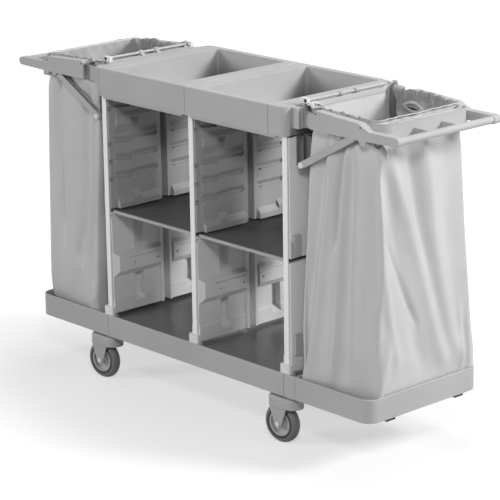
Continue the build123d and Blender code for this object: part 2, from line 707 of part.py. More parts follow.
def top_tray():
    outline = rounded_pad((TRAY_SEAM / 2, TRAY_LENGTH), TRAY_FRONT, TRAY_CORNER, "outer")
    tray = prism(outline, (FASCIA_LOW, TRAY_TOP))
    tray = round_top(tray, TRAY_ROUND)
    inside_x = (TRAY_WALL, TRAY_LENGTH - TRAY_WALL)
    inside = rounded_pad(inside_x, TRAY_FRONT - TRAY_WALL, TRAY_CORNER - TRAY_WALL, "outer")
    tray -= prism(inside, (FASCIA_LOW, TRAY_UNDER))
    inside_y = (-TRAY_FRONT + TRAY_WALL, TRAY_FRONT - TRAY_WALL)
    tray -= block((0, TRAY_WALL), inside_y, (FASCIA_LOW, TRAY_UNDER))
    bin_low = TRAY_TOP - BIN_DEPTH
    tray += tub(-TRAY_WALL, TRAY_UNDER, bin_low - TRAY_WALL)
    tray -= tub(0, TRAY_TOP, bin_low)
    mouth = tray.faces().filter_by(Axis.Z).sort_by(Axis.Z)[-1].inner_wires()[0]
    tray = fillet(mouth.edges(), BIN_EDGE)
    lip_x = (POST_WIDTH, POST_SPACING - POST_WIDTH)
    lip_y = (-TRAY_FRONT + TRAY_WALL, -TRAY_FRONT + TRAY_WALL + LIP_DEPTH)
    lip = block(lip_x, lip_y, (FASCIA_LOW - LIP_HEIGHT, FASCIA_LOW + LIP_HEIGHT))
    tray += lip + rear(lip)
    tray -= seam(TRAY_LENGTH - FRONT_SEAM_INSET, (-TRAY_FRONT, -TRAY_FRONT + SEAM_DEPTH))
    tray -= seam(TRAY_LENGTH - REAR_SEAM_INSET, (TRAY_FRONT - SEAM_DEPTH, TRAY_FRONT))
    return tray


# Bag rail


def hinge_rail():
    z = (TRAY_TOP + RAIL_RISE - RAIL_HEIGHT, TRAY_TOP + RAIL_RISE)
    bar = block((TRAY_LENGTH, TRAY_LENGTH + RAIL_DEPTH), (-RAIL_HALF, RAIL_HALF), z)
    eye = KNUCKLE_DIAMETER / 2
    y = (-KNUCKLE_Y - KNUCKLE_WIDTH / 2, -KNUCKLE_Y + KNUCKLE_WIDTH / 2)
    foot = polygon((TRAY_LENGTH, z[1]), (ROD[0] - eye, ROD[1]), ROD, (TRAY_LENGTH + RAIL_DEPTH, z[1] - eye))
    knuckle = slab(disc(ROD, eye) + foot, y)
    bar += knuckle + rear(knuckle)
    return bar - rod(ROD, ROD_DIAMETER + 2 * RUNNING_FIT, (-RAIL_HALF, RAIL_HALF))


def rail_rod():
    eye = KNUCKLE_DIAMETER / 2
    seat = TRAY_TOP + RAIL_RISE
    bar = rod(ROD, ROD_DIAMETER, (-RAIL_HALF, RAIL_HALF))
    head = block((TRAY_LENGTH, ROD[0] + eye), (-RAIL_HALF, -RAIL_HALF + ROD_END), (seat, ROD[1] + eye))
    return bar + head + rear(head)


# Folding bag holder, at the front of the right end unless it says otherwise


def hinge_bracket():
    z = (TRAY_TOP - BRACKET_LOW_DROP, TRAY_TOP - BRACKET_TOP_DROP)
    x = (TRAY_LENGTH, TRAY_LENGTH + BRACKET_DEPTH)
    bracket = block(x, (-ARM_OUTER_Y, -EAR_OUTER_Y), z)
    outer_edges = bracket.edges().filter_by(Axis.Y).group_by(Axis.X)[-1]
    bracket = fillet(outer_edges.sort_by(Axis.Z)[-1], BRACKET_ROUND)
    width = ARM_OUTER_Y - EAR_OUTER_Y
    for share in (1, 3):
        y = -EAR_OUTER_Y - share * width / 4
        slot_y = (y - BRACKET_SLOT / 2, y + BRACKET_SLOT / 2)
        bracket -= block((x[1] - BRACKET_SLOT_DEPTH, x[1]), slot_y, z)
    web = polygon((x[0], HINGE_Z - HUB_RADIUS), (x[0], HINGE_Z + HUB_RADIUS),
                  (HINGE_X, HINGE_Z + HUB_RADIUS), (HINGE_X, HINGE_Z - HUB_RADIUS))
    ear = slab(web + disc((HINGE_X, HINGE_Z), HUB_RADIUS), (-EAR_OUTER_Y, -EAR_INNER_Y))
    bore = HINGE_PIN_DIAMETER + 2 * RUNNING_FIT
    return bracket + ear - rod((HINGE_X, HINGE_Z), bore, (-EAR_OUTER_Y, -EAR_INNER_Y))


def hinge_pin():
    return rod((HINGE_X, HINGE_Z), HINGE_PIN_DIAMETER, (-CHANNEL_Y, -EAR_INNER_Y))


def stay_guide():
    x = POST_SPACING + WALL_BODY
    top = TRAY_TOP - GUIDE_DROP
    z = (top - GUIDE_HEIGHT, top)
    plate_y = (-EAR_INNER_Y - GUIDE_PLATE / 2, -EAR_INNER_Y + GUIDE_PLATE / 2)
    lip_y = (plate_y[0] - GUIDE_LIP, plate_y[0])
    return block((x, x + GUIDE_WIDTH), plate_y, z) + block((x, x + GUIDE_LIP_WIDTH), lip_y, z)


def arm():
    top = HINGE_Z + ARM_RISE
    side = polygon((ARM_ROOT, HINGE_Z - ARM_FALL), (ARM_ROOT, top - ARM_ROOT_CHAMFER),
                   (ARM_ROOT + ARM_ROOT_CHAMFER, top),
                   (HINGE_X + ARM_SHOULDER_X, HINGE_Z + ARM_SHOULDER_RISE),
                   (HINGE_X + ARM_NECK_X, HINGE_Z + ARM_NECK_RISE),
                   (HANDLE_X, HANDLE_Z + NOSE_RADIUS), (HANDLE_X, HANDLE_Z - NOSE_RADIUS),
                   (HINGE_X + ARM_CHANNEL_END, HINGE_Z - ARM_FALL))
    side += disc((HANDLE_X, HANDLE_Z), NOSE_RADIUS)
    hook = (HINGE_X + HOOK_X, HINGE_X + HOOK_X + HOOK_LENGTH)
    side += polygon((hook[0], HINGE_Z - ARM_FALL), (hook[0] + HOOK_DROP / 2, HINGE_Z - ARM_FALL - HOOK_DROP),
                    (hook[1], HINGE_Z - ARM_FALL - HOOK_DROP), (hook[1], HINGE_Z - BEAM_FALL))
    body = slab(side, (-ARM_OUTER_Y, -ARM_INNER_Y))
    channel_x = (ARM_ROOT, HINGE_X + ARM_CHANNEL_END)
    ceiling = HINGE_Z + ARM_SHOULDER_RISE - ARM_TOP_WALL
    channel_y = (-OUTER_SKIN_Y, -CHANNEL_Y)
    body -= block(channel_x, channel_y, (HINGE_Z - ARM_FALL, ceiling))
    boss = disc(STAY_TOP, STAY_BOSS_RADIUS)
    for skin in ((-ARM_OUTER_Y, -OUTER_SKIN_Y), (-CHANNEL_Y, -ARM_INNER_Y)):
        body += slab(boss, skin)
    tongue = polygon((HINGE_X, HINGE_Z - HUB_RADIUS), (HINGE_X, HINGE_Z + HUB_RADIUS),
                     (ARM_ROOT, HINGE_Z + HUB_RADIUS), (ARM_ROOT, HINGE_Z - ARM_FALL))
    body += slab(tongue + disc((HINGE_X, HINGE_Z), HUB_RADIUS), (-CHANNEL_Y, -ARM_INNER_Y))
    across = (-ARM_OUTER_Y, -ARM_INNER_Y)
    body -= rod((HINGE_X, HINGE_Z), HINGE_PIN_DIAMETER + 2 * RUNNING_FIT, across)
    stay_bore = (-OUTER_SKIN_Y - STAY_PIN_SEAT, -ARM_INNER_Y)
    body -= rod(STAY_TOP, STAY_PIN_DIAMETER + 2 * RUNNING_FIT, stay_bore)
    for pin in (CLAMP_PIN, LATCH_PIN):
        body -= rod(pin, CLAMP_PIN_DIAMETER + 2 * RUNNING_FIT, across)
    return body


def rim_beam():
    """The beam across the outer ends of the arms, with a lip along its outer edge."""
    root = BEAM_X - BEAM_LEG
    outer = rounded_pad((root, BEAM_FACE), ARM_INNER_Y, BEAM_CORNER, "outer")
    inner = rounded_pad((root, BEAM_X), ARM_INNER_Y - BEAM_LEG_WIDTH, BEAM_CORNER - BEAM_LEG_WIDTH, "outer")
    beam = prism(outer - inner, (BEAM_LOW, BEAM_TOP))
    hollow_x = (BEAM_X + BEAM_WALL, BEAM_FACE - BEAM_WALL)
    hollow_y = ARM_INNER_Y - BEAM_CORNER
    beam -= block(hollow_x, (-hollow_y, hollow_y), (BEAM_LOW, BEAM_TOP - BEAM_WALL))
    seat = rounded_pad((root, BEAM_FACE - BEAM_LIP), ARM_INNER_Y - BEAM_LIP, BEAM_CORNER - BEAM_LIP, "outer")
    lip_z = (BEAM_TOP, BEAM_TOP + BEAM_LIP_RISE)
    lip = prism(outer - seat, lip_z) & block((BEAM_X, BEAM_FACE), (-ARM_INNER_Y, ARM_INNER_Y), lip_z)
    return beam + lip


def push_handle():
    grip = rod((HANDLE_X, HANDLE_Z), HANDLE_DIAMETER, (-ARM_INNER_Y, ARM_INNER_Y))
    y = (-GUSSET_Y - GUSSET_THICKNESS / 2, -GUSSET_Y + GUSSET_THICKNESS / 2)
    top = HANDLE_Z + GUSSET_RISE
    gusset = slab(polygon((BEAM_FACE, BEAM_LOW), (BEAM_FACE, top), (HANDLE_X, top), (HANDLE_X, HANDLE_Z)), y)
    return grip + gusset + rear(gusset)


def frame_pins():
    """The pins of one arm: for the stay, for the clamp's eye and for its latch."""
    stay = rod(STAY_TOP, STAY_PIN_DIAMETER, (-OUTER_SKIN_Y - STAY_PIN_SEAT, -ARM_INNER_Y))
    clamp = rod(CLAMP_PIN, CLAMP_PIN_DIAMETER, (-ARM_OUTER_Y, -CLAMP_INNER_Y))
    latch = rod(LATCH_PIN, CLAMP_PIN_DIAMETER, (-ARM_OUTER_Y, -ARM_INNER_Y))
    return [stay, clamp, latch]


def stay():
    """A channel with rounded ends, open on its upper side between them."""
    half = STAY_WIDTH / 2
    y = (-STAY_OUT_Y, -STAY_IN_Y)
    bar = slab(hull(disc(STAY_TOP, half), disc(STAY_FOOT, half)), y)
    run = Vector(*STAY_TOP) - Vector(*STAY_FOOT)
    along = run.normalized()
    up = Vector(-along.Y, along.X)
    start = Vector(*STAY_FOOT) + along * STAY_WIDTH
    end = Vector(*STAY_TOP) - along * STAY_WIDTH
    floor = up * (STAY_WALL - half)
    trough = [start + floor, end + floor, end + up * STAY_WIDTH, start + up * STAY_WIDTH]
    trough = slab(polygon(*[(point.X, point.Y) for point in trough]), (y[0] + STAY_WALL, y[1] - STAY_WALL))
    bores = rod(STAY_TOP, STAY_PIN_DIAMETER + 2 * RUNNING_FIT, y)
    bores += rod(STAY_FOOT, STAY_PIN_DIAMETER + 2 * RUNNING_FIT, y)
    return bar - trough - bores


def stay_pin():
    """The pin at the foot of a stay, with a knob outside and its inner end in the guide."""
    pin = rod(STAY_FOOT, STAY_PIN_DIAMETER, (-STAY_OUT_Y, -STAY_IN_Y + STAY_SHOE_REACH))
    return pin + rod(STAY_FOOT, KNOB_DIAMETER, (-STAY_OUT_Y - KNOB_THICKNESS, -STAY_OUT_Y))


def bag_clamp():
    """The hinged frame that presses the bag's hem on the beam, between the arms of the right end."""
    low = BEAM_TOP + CLAMP_SEAT_GAP
    z = (low, low + CLAMP_THICKNESS)
    root = CLAMP_PIN[0] + CLAMP_ROOT
    end = BEAM_FACE - BEAM_LIP - CLAMP_LIP_GAP
    outer = rounded_pad((root, end), CLAMP_OUTER_Y, CLAMP_CORNER, "outer")
    inner_x = (root, end - CLAMP_END_WIDTH)
    inner = rounded_pad(inner_x, CLAMP_INNER_Y, CLAMP_CORNER - CLAMP_SIDE_WIDTH, "outer")
    bar_y = CLAMP_OUTER_Y - CLAMP_CORNER
    bar = block((inner_x[1], end), (-bar_y, bar_y), (low, z[1] + CLAMP_BAR_RISE))
    frame = prism(outer - inner, z) + round_top(bar, CLAMP_BAR_ROUND)
    neck = disc((root + CLAMP_EYE_RADIUS, sum(z) / 2), CLAMP_THICKNESS / 2)
    eye_y = (-CLAMP_OUTER_Y, -CLAMP_INNER_Y)
    eye = slab(hull(disc(CLAMP_PIN, CLAMP_EYE_RADIUS), neck), eye_y)
    eye -= rod(CLAMP_PIN, CLAMP_PIN_DIAMETER + 2 * RUNNING_FIT, eye_y)
    return frame + eye + rear(eye)


# Laundry bag


def bag_body(inset, low, high):
    """A bag that stands on the platform and narrows to its mouth."""
    base_x = (BASE_END + BAG_BASE_GAP_INNER + inset, PLATFORM_END - BAG_BASE_GAP_OUTER - inset)
    base_y = PLATFORM_FRONT - BAG_BASE_GAP_SIDE - inset
    mouth_x = (HINGE_X - BAG_MOUTH_GAP + inset, BEAM_X - BAG_MOUTH_GAP - inset)
    mouth_y = ARM_INNER_Y - BAG_MOUTH_SIDE_GAP - inset
    base = Pos(0, 0, low) * rounded_pad(base_x, base_y, BAG_CORNER, "all")
    mouth = Pos(0, 0, high) * rounded_pad(mouth_x, mouth_y, BAG_CORNER, "all")
    return loft([base, mouth])


def bag():
    low = PLATFORM_TOP + BAG_SEAT_GAP
    return bag_body(0, low, HINGE_Z) - bag_body(BAG_WALL, low + BAG_WALL, HINGE_Z)


# Nodes

save("base_frame", base_frame())
save("base_floor", *base_floor())
save("right_platform", platform())
save("left_platform", left(platform()))
save("platform_pads", *four_corners(platform_pad()))
save("caster_sockets", *four_corners(caster_socket()))
save("posts", *[piece for x in POST_XS for piece in front_and_rear(post(x))])
save("post_feet", *[piece for x in POST_XS for piece in front_and_rear(post_foot(x))])

for level, z, shaped in (("upper", UPPER_WALL, upper_relief()), ("lower", LOWER_WALL, lower_relief())):
    skin = (-WALL_BODY, -WALL_BODY + WALL_TONGUE)
    core = (-WALL_TONGUE / 2, WALL_TONGUE / 2)
    end_panel = wall_panel(-POST_SPACING, z, shaped, False, skin)
    save(f"left_{level}_wall", *end_panel)
    save(f"centre_{level}_wall", *wall_panel(0, z, shaped, True, core))
    save(f"right_{level}_wall", *[left(half) for half in end_panel])

clips = [wall_clip(UPPER_WALL[0] + CLIP_LIFTS[0]), wall_clip(LOWER_WALL[0] + CLIP_LIFTS[1]), post_clip()]
save("wall_clips", *[piece for clip in clips for piece in four_corners(clip)])
save("right_shelf", shelf())
save("left_shelf", left(shelf()))
save("shelf_edges", *four_corners(shelf_edge()))
save("right_top_tray", top_tray())
save("left_top_tray", Rot(0, 0, 180) * top_tray())
save("right_hinge_rail", hinge_rail())
save("left_hinge_rail", left(hinge_rail()))
save("rail_rods", rail_rod(), left(rail_rod()))
save("hinge_brackets", *four_corners(hinge_bracket()))
save("hinge_pins", *four_corners(hinge_pin()))
save("stay_guides", *four_corners(stay_guide()))

for end, place in (("right", lambda piece: piece), ("left", left)):
    save(f"{end}_front_arm", place(arm()))
    save(f"{end}_rear_arm", place(rear(arm())))
    save(f"{end}_rim_beam", place(rim_beam()))
    save(f"{end}_push_handle", place(push_handle()))
    save(f"{end}_frame_pins", *[place(piece) for pin in frame_pins() for piece in front_and_rear(pin)])
    save(f"{end}_stays", *[place(piece) for piece in front_and_rear(stay())])
    save(f"{end}_stay_pins", *[place(piece) for piece in front_and_rear(stay_pin())])
    save(f"{end}_bag_clamp", place(bag_clamp()))
    save(f"{end}_bag", place(bag()))

for end, x in (("right", CASTER_X), ("left", -CASTER_X)):
    for side, y in (("front", -CASTER_Y), ("rear", CASTER_Y)):
        stand = caster_place(x, y)
        save(f"{end}_{side}_yoke", stand * yoke())
        save(f"{end}_{side}_axle", stand * axle())
        save(f"{end}_{side}_hub", stand * wheel_hub())
        save(f"{end}_{side}_tyre", stand * tyre())
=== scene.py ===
import json
import math

import bmesh
import bpy
import numpy as np
from mathutils import Matrix, Vector


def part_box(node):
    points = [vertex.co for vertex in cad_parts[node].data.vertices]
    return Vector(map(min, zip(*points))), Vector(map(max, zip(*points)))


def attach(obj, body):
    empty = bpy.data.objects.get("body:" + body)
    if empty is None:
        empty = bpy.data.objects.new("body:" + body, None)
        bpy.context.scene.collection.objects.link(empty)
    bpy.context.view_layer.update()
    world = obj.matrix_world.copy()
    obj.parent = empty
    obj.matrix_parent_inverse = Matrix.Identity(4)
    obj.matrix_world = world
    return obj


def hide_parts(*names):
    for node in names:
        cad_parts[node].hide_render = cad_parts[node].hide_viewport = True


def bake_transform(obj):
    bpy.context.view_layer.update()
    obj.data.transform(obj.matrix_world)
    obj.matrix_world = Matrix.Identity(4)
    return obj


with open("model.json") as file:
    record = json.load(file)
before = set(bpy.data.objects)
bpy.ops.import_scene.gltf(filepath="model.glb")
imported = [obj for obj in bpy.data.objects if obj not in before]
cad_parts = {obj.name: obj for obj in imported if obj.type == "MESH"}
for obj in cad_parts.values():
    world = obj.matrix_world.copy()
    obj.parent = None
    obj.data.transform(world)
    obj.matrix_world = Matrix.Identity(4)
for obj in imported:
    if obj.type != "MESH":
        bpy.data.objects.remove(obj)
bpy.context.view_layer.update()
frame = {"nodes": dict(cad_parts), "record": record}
nodes = frame["nodes"]
record = frame["record"]
joints = {joint["name"]: joint for joint in record["behaviour"]["joints"]}
scene = bpy.context.scene
scene.view_settings.view_transform = "Standard"
ENDS = ("right", "left")


# Node trees


class Flow:
    """A socket of a node tree, on which Python's operators add Math nodes."""

    def __init__(self, tree, socket=None):
        self.tree = tree
        self.socket = socket

    def node(self, kind, settings=None, inputs=None, output=0):
        """Any other node: its type, its settings, and the values or links of its sockets."""
        made = self.tree.nodes.new(kind)
        for name, value in (settings or {}).items():
            setattr(made, name, value)
        for name, value in (inputs or {}).items():
            if isinstance(value, Flow):
                self.tree.links.new(value.socket, made.inputs[name])
            else:
                made.inputs[name].default_value = value
        return Flow(self.tree, made.outputs[output] if made.outputs else None)

    def math(self, operation, first, second=0.0):
        """A Math node."""
        return self.node("ShaderNodeMath", {"operation": operation}, {0: first, 1: second})

    def __add__(self, other):
        return self.math("ADD", self, other)

    def __radd__(self, other):
        return self.math("ADD", other, self)

    def __sub__(self, other):
        return self.math("SUBTRACT", self, other)

    def __rsub__(self, other):
        return self.math("SUBTRACT", other, self)

    def __mul__(self, other):
        return self.math("MULTIPLY", self, other)

    def __rmul__(self, other):
        return self.math("MULTIPLY", other, self)

    def __pow__(self, other):
        return self.math("POWER", self, other)

    def between(self, low, high):
        """A smooth step from 0 at one value to 1 at another."""
        settings = {"interpolation_type": "SMOOTHSTEP"}
        return self.node("ShaderNodeMapRange", settings, {"Value": self, "From Min": low, "From Max": high})

    def along(self, axis):
        """One of the three numbers of a place."""
        return self.node("ShaderNodeSeparateXYZ", {}, {0: self}, axis)


def blank_tree(owner):
    """The emptied node tree of a material or of the world."""
    owner.use_nodes = True
    owner.node_tree.nodes.clear()
    return Flow(owner.node_tree)


def mix(flow, share, first, second):
    """A blend of two colours, which a Mix node takes at its sockets 6 and 7 and gives at its output 2."""
    return flow.node("ShaderNodeMix", {"data_type": "RGBA"}, {0: share, 6: first, 7: second}, 2)


def grey(level, warmth=0.0):
    """A near-neutral colour in linear light."""
    return (level * (1 + warmth), level, level * (1 - warmth), 1)


def greys(flow, share, first, second, warmth=0.0):
    """A blend of two greys."""
    return mix(flow, share, grey(first, warmth), grey(second, warmth))


# Camera, floor and light

CLIP_END = 50
LAMP_AIM = (0, 0, 0.5)
WHITE = (1, 1, 1, 1)
FLOOR_HALF = 30.0
FLOOR_PAINT, FLOOR_SEEN, FLOOR_GLOW = 0.5, 0.98, 1.12
# How much of the shadow shows on the white floor, and where it fades round the trolley
SHADOW_KEPT = 0.5
SHADOW_FADE = (0.5, 1.05)
SHADOW_SQUEEZE = (0.6, 1.0, 1.0)


def place_camera(azimuth, elevation, roll, target, distance, lens):
    """A camera that looks at a target from a side and a height given in degrees."""
    azimuth, elevation, roll = (math.radians(angle) for angle in (azimuth, elevation, roll))
    flat = math.cos(elevation)
    back = Vector((math.sin(azimuth) * flat, -math.cos(azimuth) * flat, math.sin(elevation)))
    level = Vector((math.cos(azimuth), math.sin(azimuth), 0))
    upright = back.cross(level)
    right = math.cos(roll) * level + math.sin(roll) * upright
    up = math.cos(roll) * upright - math.sin(roll) * level
    data = bpy.data.cameras.new("camera")
    data.lens = lens
    data.sensor_fit = "HORIZONTAL"
    data.clip_end = CLIP_END
    camera = bpy.data.objects.new("camera", data)
    turn = Matrix((right, up, back)).transposed().to_4x4()
    camera.matrix_world = Matrix.Translation(Vector(target) + distance * back) @ turn
    scene.collection.objects.link(camera)
    scene.camera = camera


def area_lamp(name, place, size, watts):
    """A soft square lamp that shines from a place towards the middle of the trolley."""
    data = bpy.data.lights.new(name, "AREA")
    data.size = size
    data.energy = watts
    lamp = bpy.data.objects.new(name, data)
    lamp.location = place
    lamp.rotation_euler = (Vector(LAMP_AIM) - Vector(place)).to_track_quat("-Z", "Y").to_euler()
    scene.collection.objects.link(lamp)


def seen_directly(flow):
    """1 for rays that show a thing to the camera, straight or through a reflection, and 0 for light."""
    camera = flow.node("ShaderNodeLightPath", output="Is Camera Ray")
    glossy = flow.node("ShaderNodeLightPath", output="Is Glossy Ray")
    clear = flow.node("ShaderNodeLightPath", output="Is Transmission Ray")
    return flow.math("MINIMUM", camera + glossy + clear, 1.0)


def studio_world(ambient):
    """A white surround that gives only a little light."""
    world = bpy.data.worlds.new("studio")
    scene.world = world
    flow = blank_tree(world)
    strength = ambient + seen_directly(flow) * (1.0 - ambient)
    sky = flow.node("ShaderNodeBackground", {}, {"Color": WHITE, "Strength": strength})
    flow.node("ShaderNodeOutputWorld", {}, {"Surface": sky})


def studio_floor(half):
    """A wide pale floor. Its white shows to the camera, with part of the shadow kept near the trolley."""
    mesh = bpy.data.meshes.new("floor")
    corners = [(-half, -half, 0), (half, -half, 0), (half, half, 0), (-half, half, 0)]
    mesh.from_pydata(corners, [], [(0, 1, 2, 3)])
    floor = bpy.data.objects.new("floor", mesh)
    scene.collection.objects.link(floor)
    material = bpy.data.materials.new("pale_floor")
    flow = blank_tree(material)
    seen = seen_directly(flow)
    paint = flow.node("ShaderNodeBsdfDiffuse", {}, {"Color": greys(flow, seen, FLOOR_PAINT, FLOOR_SEEN)})
    glow = flow.node("ShaderNodeEmission", {}, {"Color": WHITE, "Strength": FLOOR_GLOW})
    place = flow.node("ShaderNodeTexCoord", output="Object")
    squeezed = flow.node("ShaderNodeMapping", {}, {"Vector": place, "Scale": SHADOW_SQUEEZE})
    reach = flow.node("ShaderNodeVectorMath", {"operation": "LENGTH"}, {0: squeezed}, "Value")
    share = seen * (1 - SHADOW_KEPT * (1 - reach.between(*SHADOW_FADE)))
    mixed = flow.node("ShaderNodeMixShader", {}, {0: share, 1: paint, 2: glow})
    flow.node("ShaderNodeOutputMaterial", {}, {"Surface": mixed})
    mesh.materials.append(material)


place_camera(
    azimuth=47.487,
    elevation=16.024,
    roll=-0.869,
    target=(-0.01697, 0.02964, 0.47018),
    distance=7.19254,
    lens=164.747,
)
studio_world(ambient=0.14)
studio_floor(FLOOR_HALF)
area_lamp("key", place=(4.0, 2.4, 3.0), size=1.2, watts=198)
area_lamp("front", place=(-5.0, -9.0, 3.9), size=2.6, watts=375)
area_lamp("fill", place=(3.2, -2.8, 3.2), size=0.7, watts=62)
area_lamp("top", place=(-0.6, 1.0, 4.6), size=1.6, watts=60)


# Finishes

# Each pair gives the two places between which a finish changes into another one
# The three bin pairs below place the painted shade that darkens the bins towards their bottoms and corners
tray_low, tray_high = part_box("right_top_tray")
BIN_HEIGHTS = (tray_low[2] - 0.013, tray_high[2] - 0.005)
BIN_CORNERS = (0.07, 0.20)
BIN_OUTSIDE = (tray_high[1] - 0.030, tray_high[1] - 0.022)
# The pair below turns the outer faces of the end walls paler: partly their own paler skin, partly painted
# light where the bag shades them
wall_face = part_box("right_upper_wall")[1][0]
END_FACE_PALE_AND_LIT = (wall_face - 0.006, wall_face - 0.003)
# Over the next pair the boards go from painted light at their front to painted shade at their rear
BOARD_SHADE_DEPTH = (-0.25, 0.22)
# The next pairs place a painted shade ring on each tyre's sidewall, round its hub
hub_low, hub_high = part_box("right_front_hub")
hub_radius = (hub_high[2] - hub_low[2]) / 2
SHADE_RING_INSIDE = (hub_radius + 0.0005, hub_radius + 0.0015)
SHADE_RING_OUTSIDE = (hub_radius + 0.0085, hub_radius + 0.0100)
rod_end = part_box("rail_rods")[1]
ROD_BLOCKS = (rod_end[1] - 0.0160, rod_end[1] - 0.0156)
REAR_BAND, BAND_DEPTH = (1.09, 1.11), (-0.085, -0.070)
SEAM_EDGE = (0.0004, 0.0012)
# The hem's seam lies this far from the edge of the cloth
HEM_DEPTH = 0.018
# Threads, stitches and ribs in radians per metre
WEAVE_RATE, STITCH_RATE, RIB_RATE = 5200.0, 1600.0, 4200.0
# Greys in linear light
# The first pair is the paler outer face of the end walls, partly painted light
OUTER_FACE_GREYS, ZINC_GREYS = (0.78, 0.84), (0.50, 0.66)
# The last grey is the painted shade ring on the tyres' sidewalls
TYRE_GREYS, SIDEWALL_SHADE_GREY = (0.15, 0.19), 0.03
ROD_GREYS, BLOCK_GREY = (0.48, 0.54), 0.80
# Shares of a finish's own level
# The first share is the level that the painted shade in the bins reaches
BIN_SHADE_SHARE, SPECKLE_SHADE = 0.16, 1.9
BAND_SHADE, BAND_COVER, SEAM_SHADE = 0.35, 0.45, 0.45
CLOTH_WARMTH = 0.006


def new_finish(name, coordinates="Object"):
    """A blank material, its node tree and the coordinates that its pattern follows."""
    material = bpy.data.materials.new(name)
    flow = blank_tree(material)
    return material, flow, flow.node("ShaderNodeTexCoord", output=coordinates)


def finish(flow, settings, colour, roughness, relief, bump):
    """The surface of a material: its fixed settings, what varies over it, and its relief in metres."""
    normal = flow.node("ShaderNodeBump", {}, {"Strength": bump, "Distance": 1.0, "Height": relief})
    changing = {"Base Color": colour, "Roughness": roughness, "Normal": normal}
    surface = flow.node("ShaderNodeBsdfPrincipled", {}, {**settings, **changing})
    flow.node("ShaderNodeOutputMaterial", {}, {"Surface": surface})


def noise(flow, place, scale, detail=2.0, roughness=0.5):
    """Noise from 0 to 1 at so many grains per metre."""
    inputs = {"Vector": place, "Scale": scale, "Detail": detail, "Roughness": roughness}
    return flow.node("ShaderNodeTexNoise", {}, inputs)


def varied(middle, pattern, spread):
    """A value that a pattern from 0 to 1 moves to both sides of its middle."""
    return middle + (pattern - 0.5) * spread


def moulded_plastic(name, level, roughness, painted_bin_shade=None, pale_and_lit_face=None):
    """Textured moulded plastic, a little cloudy and rubbed smoother in patches.

    The next to last argument gives the heights over which painted shade darkens the corners of a bin
    downwards, standing for the shade deep in the bins. The last gives the distances from the middle of the
    trolley over which the outer face turns paler, partly its own paler skin and partly painted light where
    the bag shades it.
    """
    material, flow, place = new_finish(name)
    cloud = noise(flow, place, scale=5.0, detail=3.0)
    rubbed = noise(flow, place, scale=14.0, detail=4.0, roughness=0.6)
    pitted = noise(flow, place, scale=900.0, detail=1.0)
    colour = greys(flow, cloud.between(0.25, 0.75), level * 0.95, level * 1.04)
    if painted_bin_shade:
        # Painted shade: the corners of the bins darken downwards, standing for the shade deep inside them
        depth = flow.math("ABSOLUTE", place.along("Y"))
        corners = depth.between(*BIN_CORNERS) * (1 - depth.between(*BIN_OUTSIDE))
        painted_shade = corners * (1 - place.along("Z").between(*painted_bin_shade)) * varied(0.8, rubbed, 0.4)
        colour = mix(flow, painted_shade, colour, grey(level * BIN_SHADE_SHARE))
    if pale_and_lit_face:
        # Partly painted light: the outer face turns paler, as its own paler skin and as light where the bag
        # shades it
        reach = flow.math("ABSOLUTE", place.along("X"))
        colour = mix(flow, reach.between(*pale_and_lit_face), colour, greys(flow, cloud, *OUTER_FACE_GREYS))
    finish(flow, {"IOR": 1.46}, colour, varied(roughness, rubbed, 0.16), relief=pitted * 0.00025, bump=0.6)
    return material


def satin_metal(name, level):
    """Satin anodised profile with drawing lines along its length."""
    material, flow, place = new_finish(name)
    drawn = flow.node("ShaderNodeMapping", {}, {"Vector": place, "Scale": (900.0, 900.0, 2.5)})
    lines = noise(flow, drawn, scale=1.0)
    cloud = noise(flow, place, scale=7.0)
    colour = greys(flow, lines, level * 0.95, level * 1.03)
    settings = {"Metallic": 0.25, "IOR": 1.5}
    finish(flow, settings, colour, varied(0.36, cloud, 0.12), relief=lines * 0.00006, bump=0.5)
    return material


def speckled_board(name, front, rear, roughness, gloss):
    """Dark laminated board with a fine pale speckle, with painted light and sheen towards its front and
    painted shade towards its rear.
    """
    material, flow, place = new_finish(name)
    fine = noise(flow, place, scale=700.0, roughness=0.7)
    cloud = noise(flow, place, scale=6.0, detail=3.0)
    # Painted light and shade: lighter at the front where light and its sheen fall, darker towards the
    # shaded rear
    back = place.along("Y").between(*BOARD_SHADE_DEPTH)
    speckle = greys(flow, back, front * SPECKLE_SHADE, rear * SPECKLE_SHADE)
    colour = mix(flow, fine.between(0.55, 0.8), greys(flow, back, front, rear), speckle)
    settings = {"IOR": 1.45, "Specular IOR Level": gloss}
    finish(flow, settings, colour, varied(roughness, cloud, 0.06), relief=fine * 0.0002, bump=0.4)
    return material


def zinc_steel(name):
    """Zinc plated steel with a fine grain."""
    material, flow, place = new_finish(name)
    fine = noise(flow, place, scale=500.0, detail=3.0)
    colour = greys(flow, fine, *ZINC_GREYS)
    finish(flow, {"Metallic": 1.0}, colour, varied(0.36, fine, 0.2), relief=fine * 0.00005, bump=0.4)
    return material


def tyre_rubber(name, centre, axis):
    """Grey tyre with a scuffed tread, and a dark ring painted on each sidewall as its shade."""
    material, flow, place = new_finish(name)
    arm = flow.node("ShaderNodeVectorMath", {"operation": "SUBTRACT"}, {0: place, 1: centre})
    reach = flow.node("ShaderNodeVectorMath", {"operation": "LENGTH"}, {0: arm}, "Value")
    side = flow.node("ShaderNodeVectorMath", {"operation": "DOT_PRODUCT"}, {0: arm, 1: axis}, "Value")
    radius = (reach * reach - side * side) ** 0.5
    # Painted shade: a dark ring stands for the shade on the rounded sidewall
    ring = radius.between(*SHADE_RING_INSIDE) * (1 - radius.between(*SHADE_RING_OUTSIDE))
    scuff = noise(flow, place, scale=90.0, detail=3.0, roughness=0.6)
    fine = noise(flow, place, scale=700.0)
    colour = mix(flow, ring, greys(flow, scuff, *TYRE_GREYS), grey(SIDEWALL_SHADE_GREY))
    finish(flow, {"IOR": 1.48}, colour, varied(0.55, scuff, 0.2), relief=fine * 0.0002, bump=0.5)
    return material


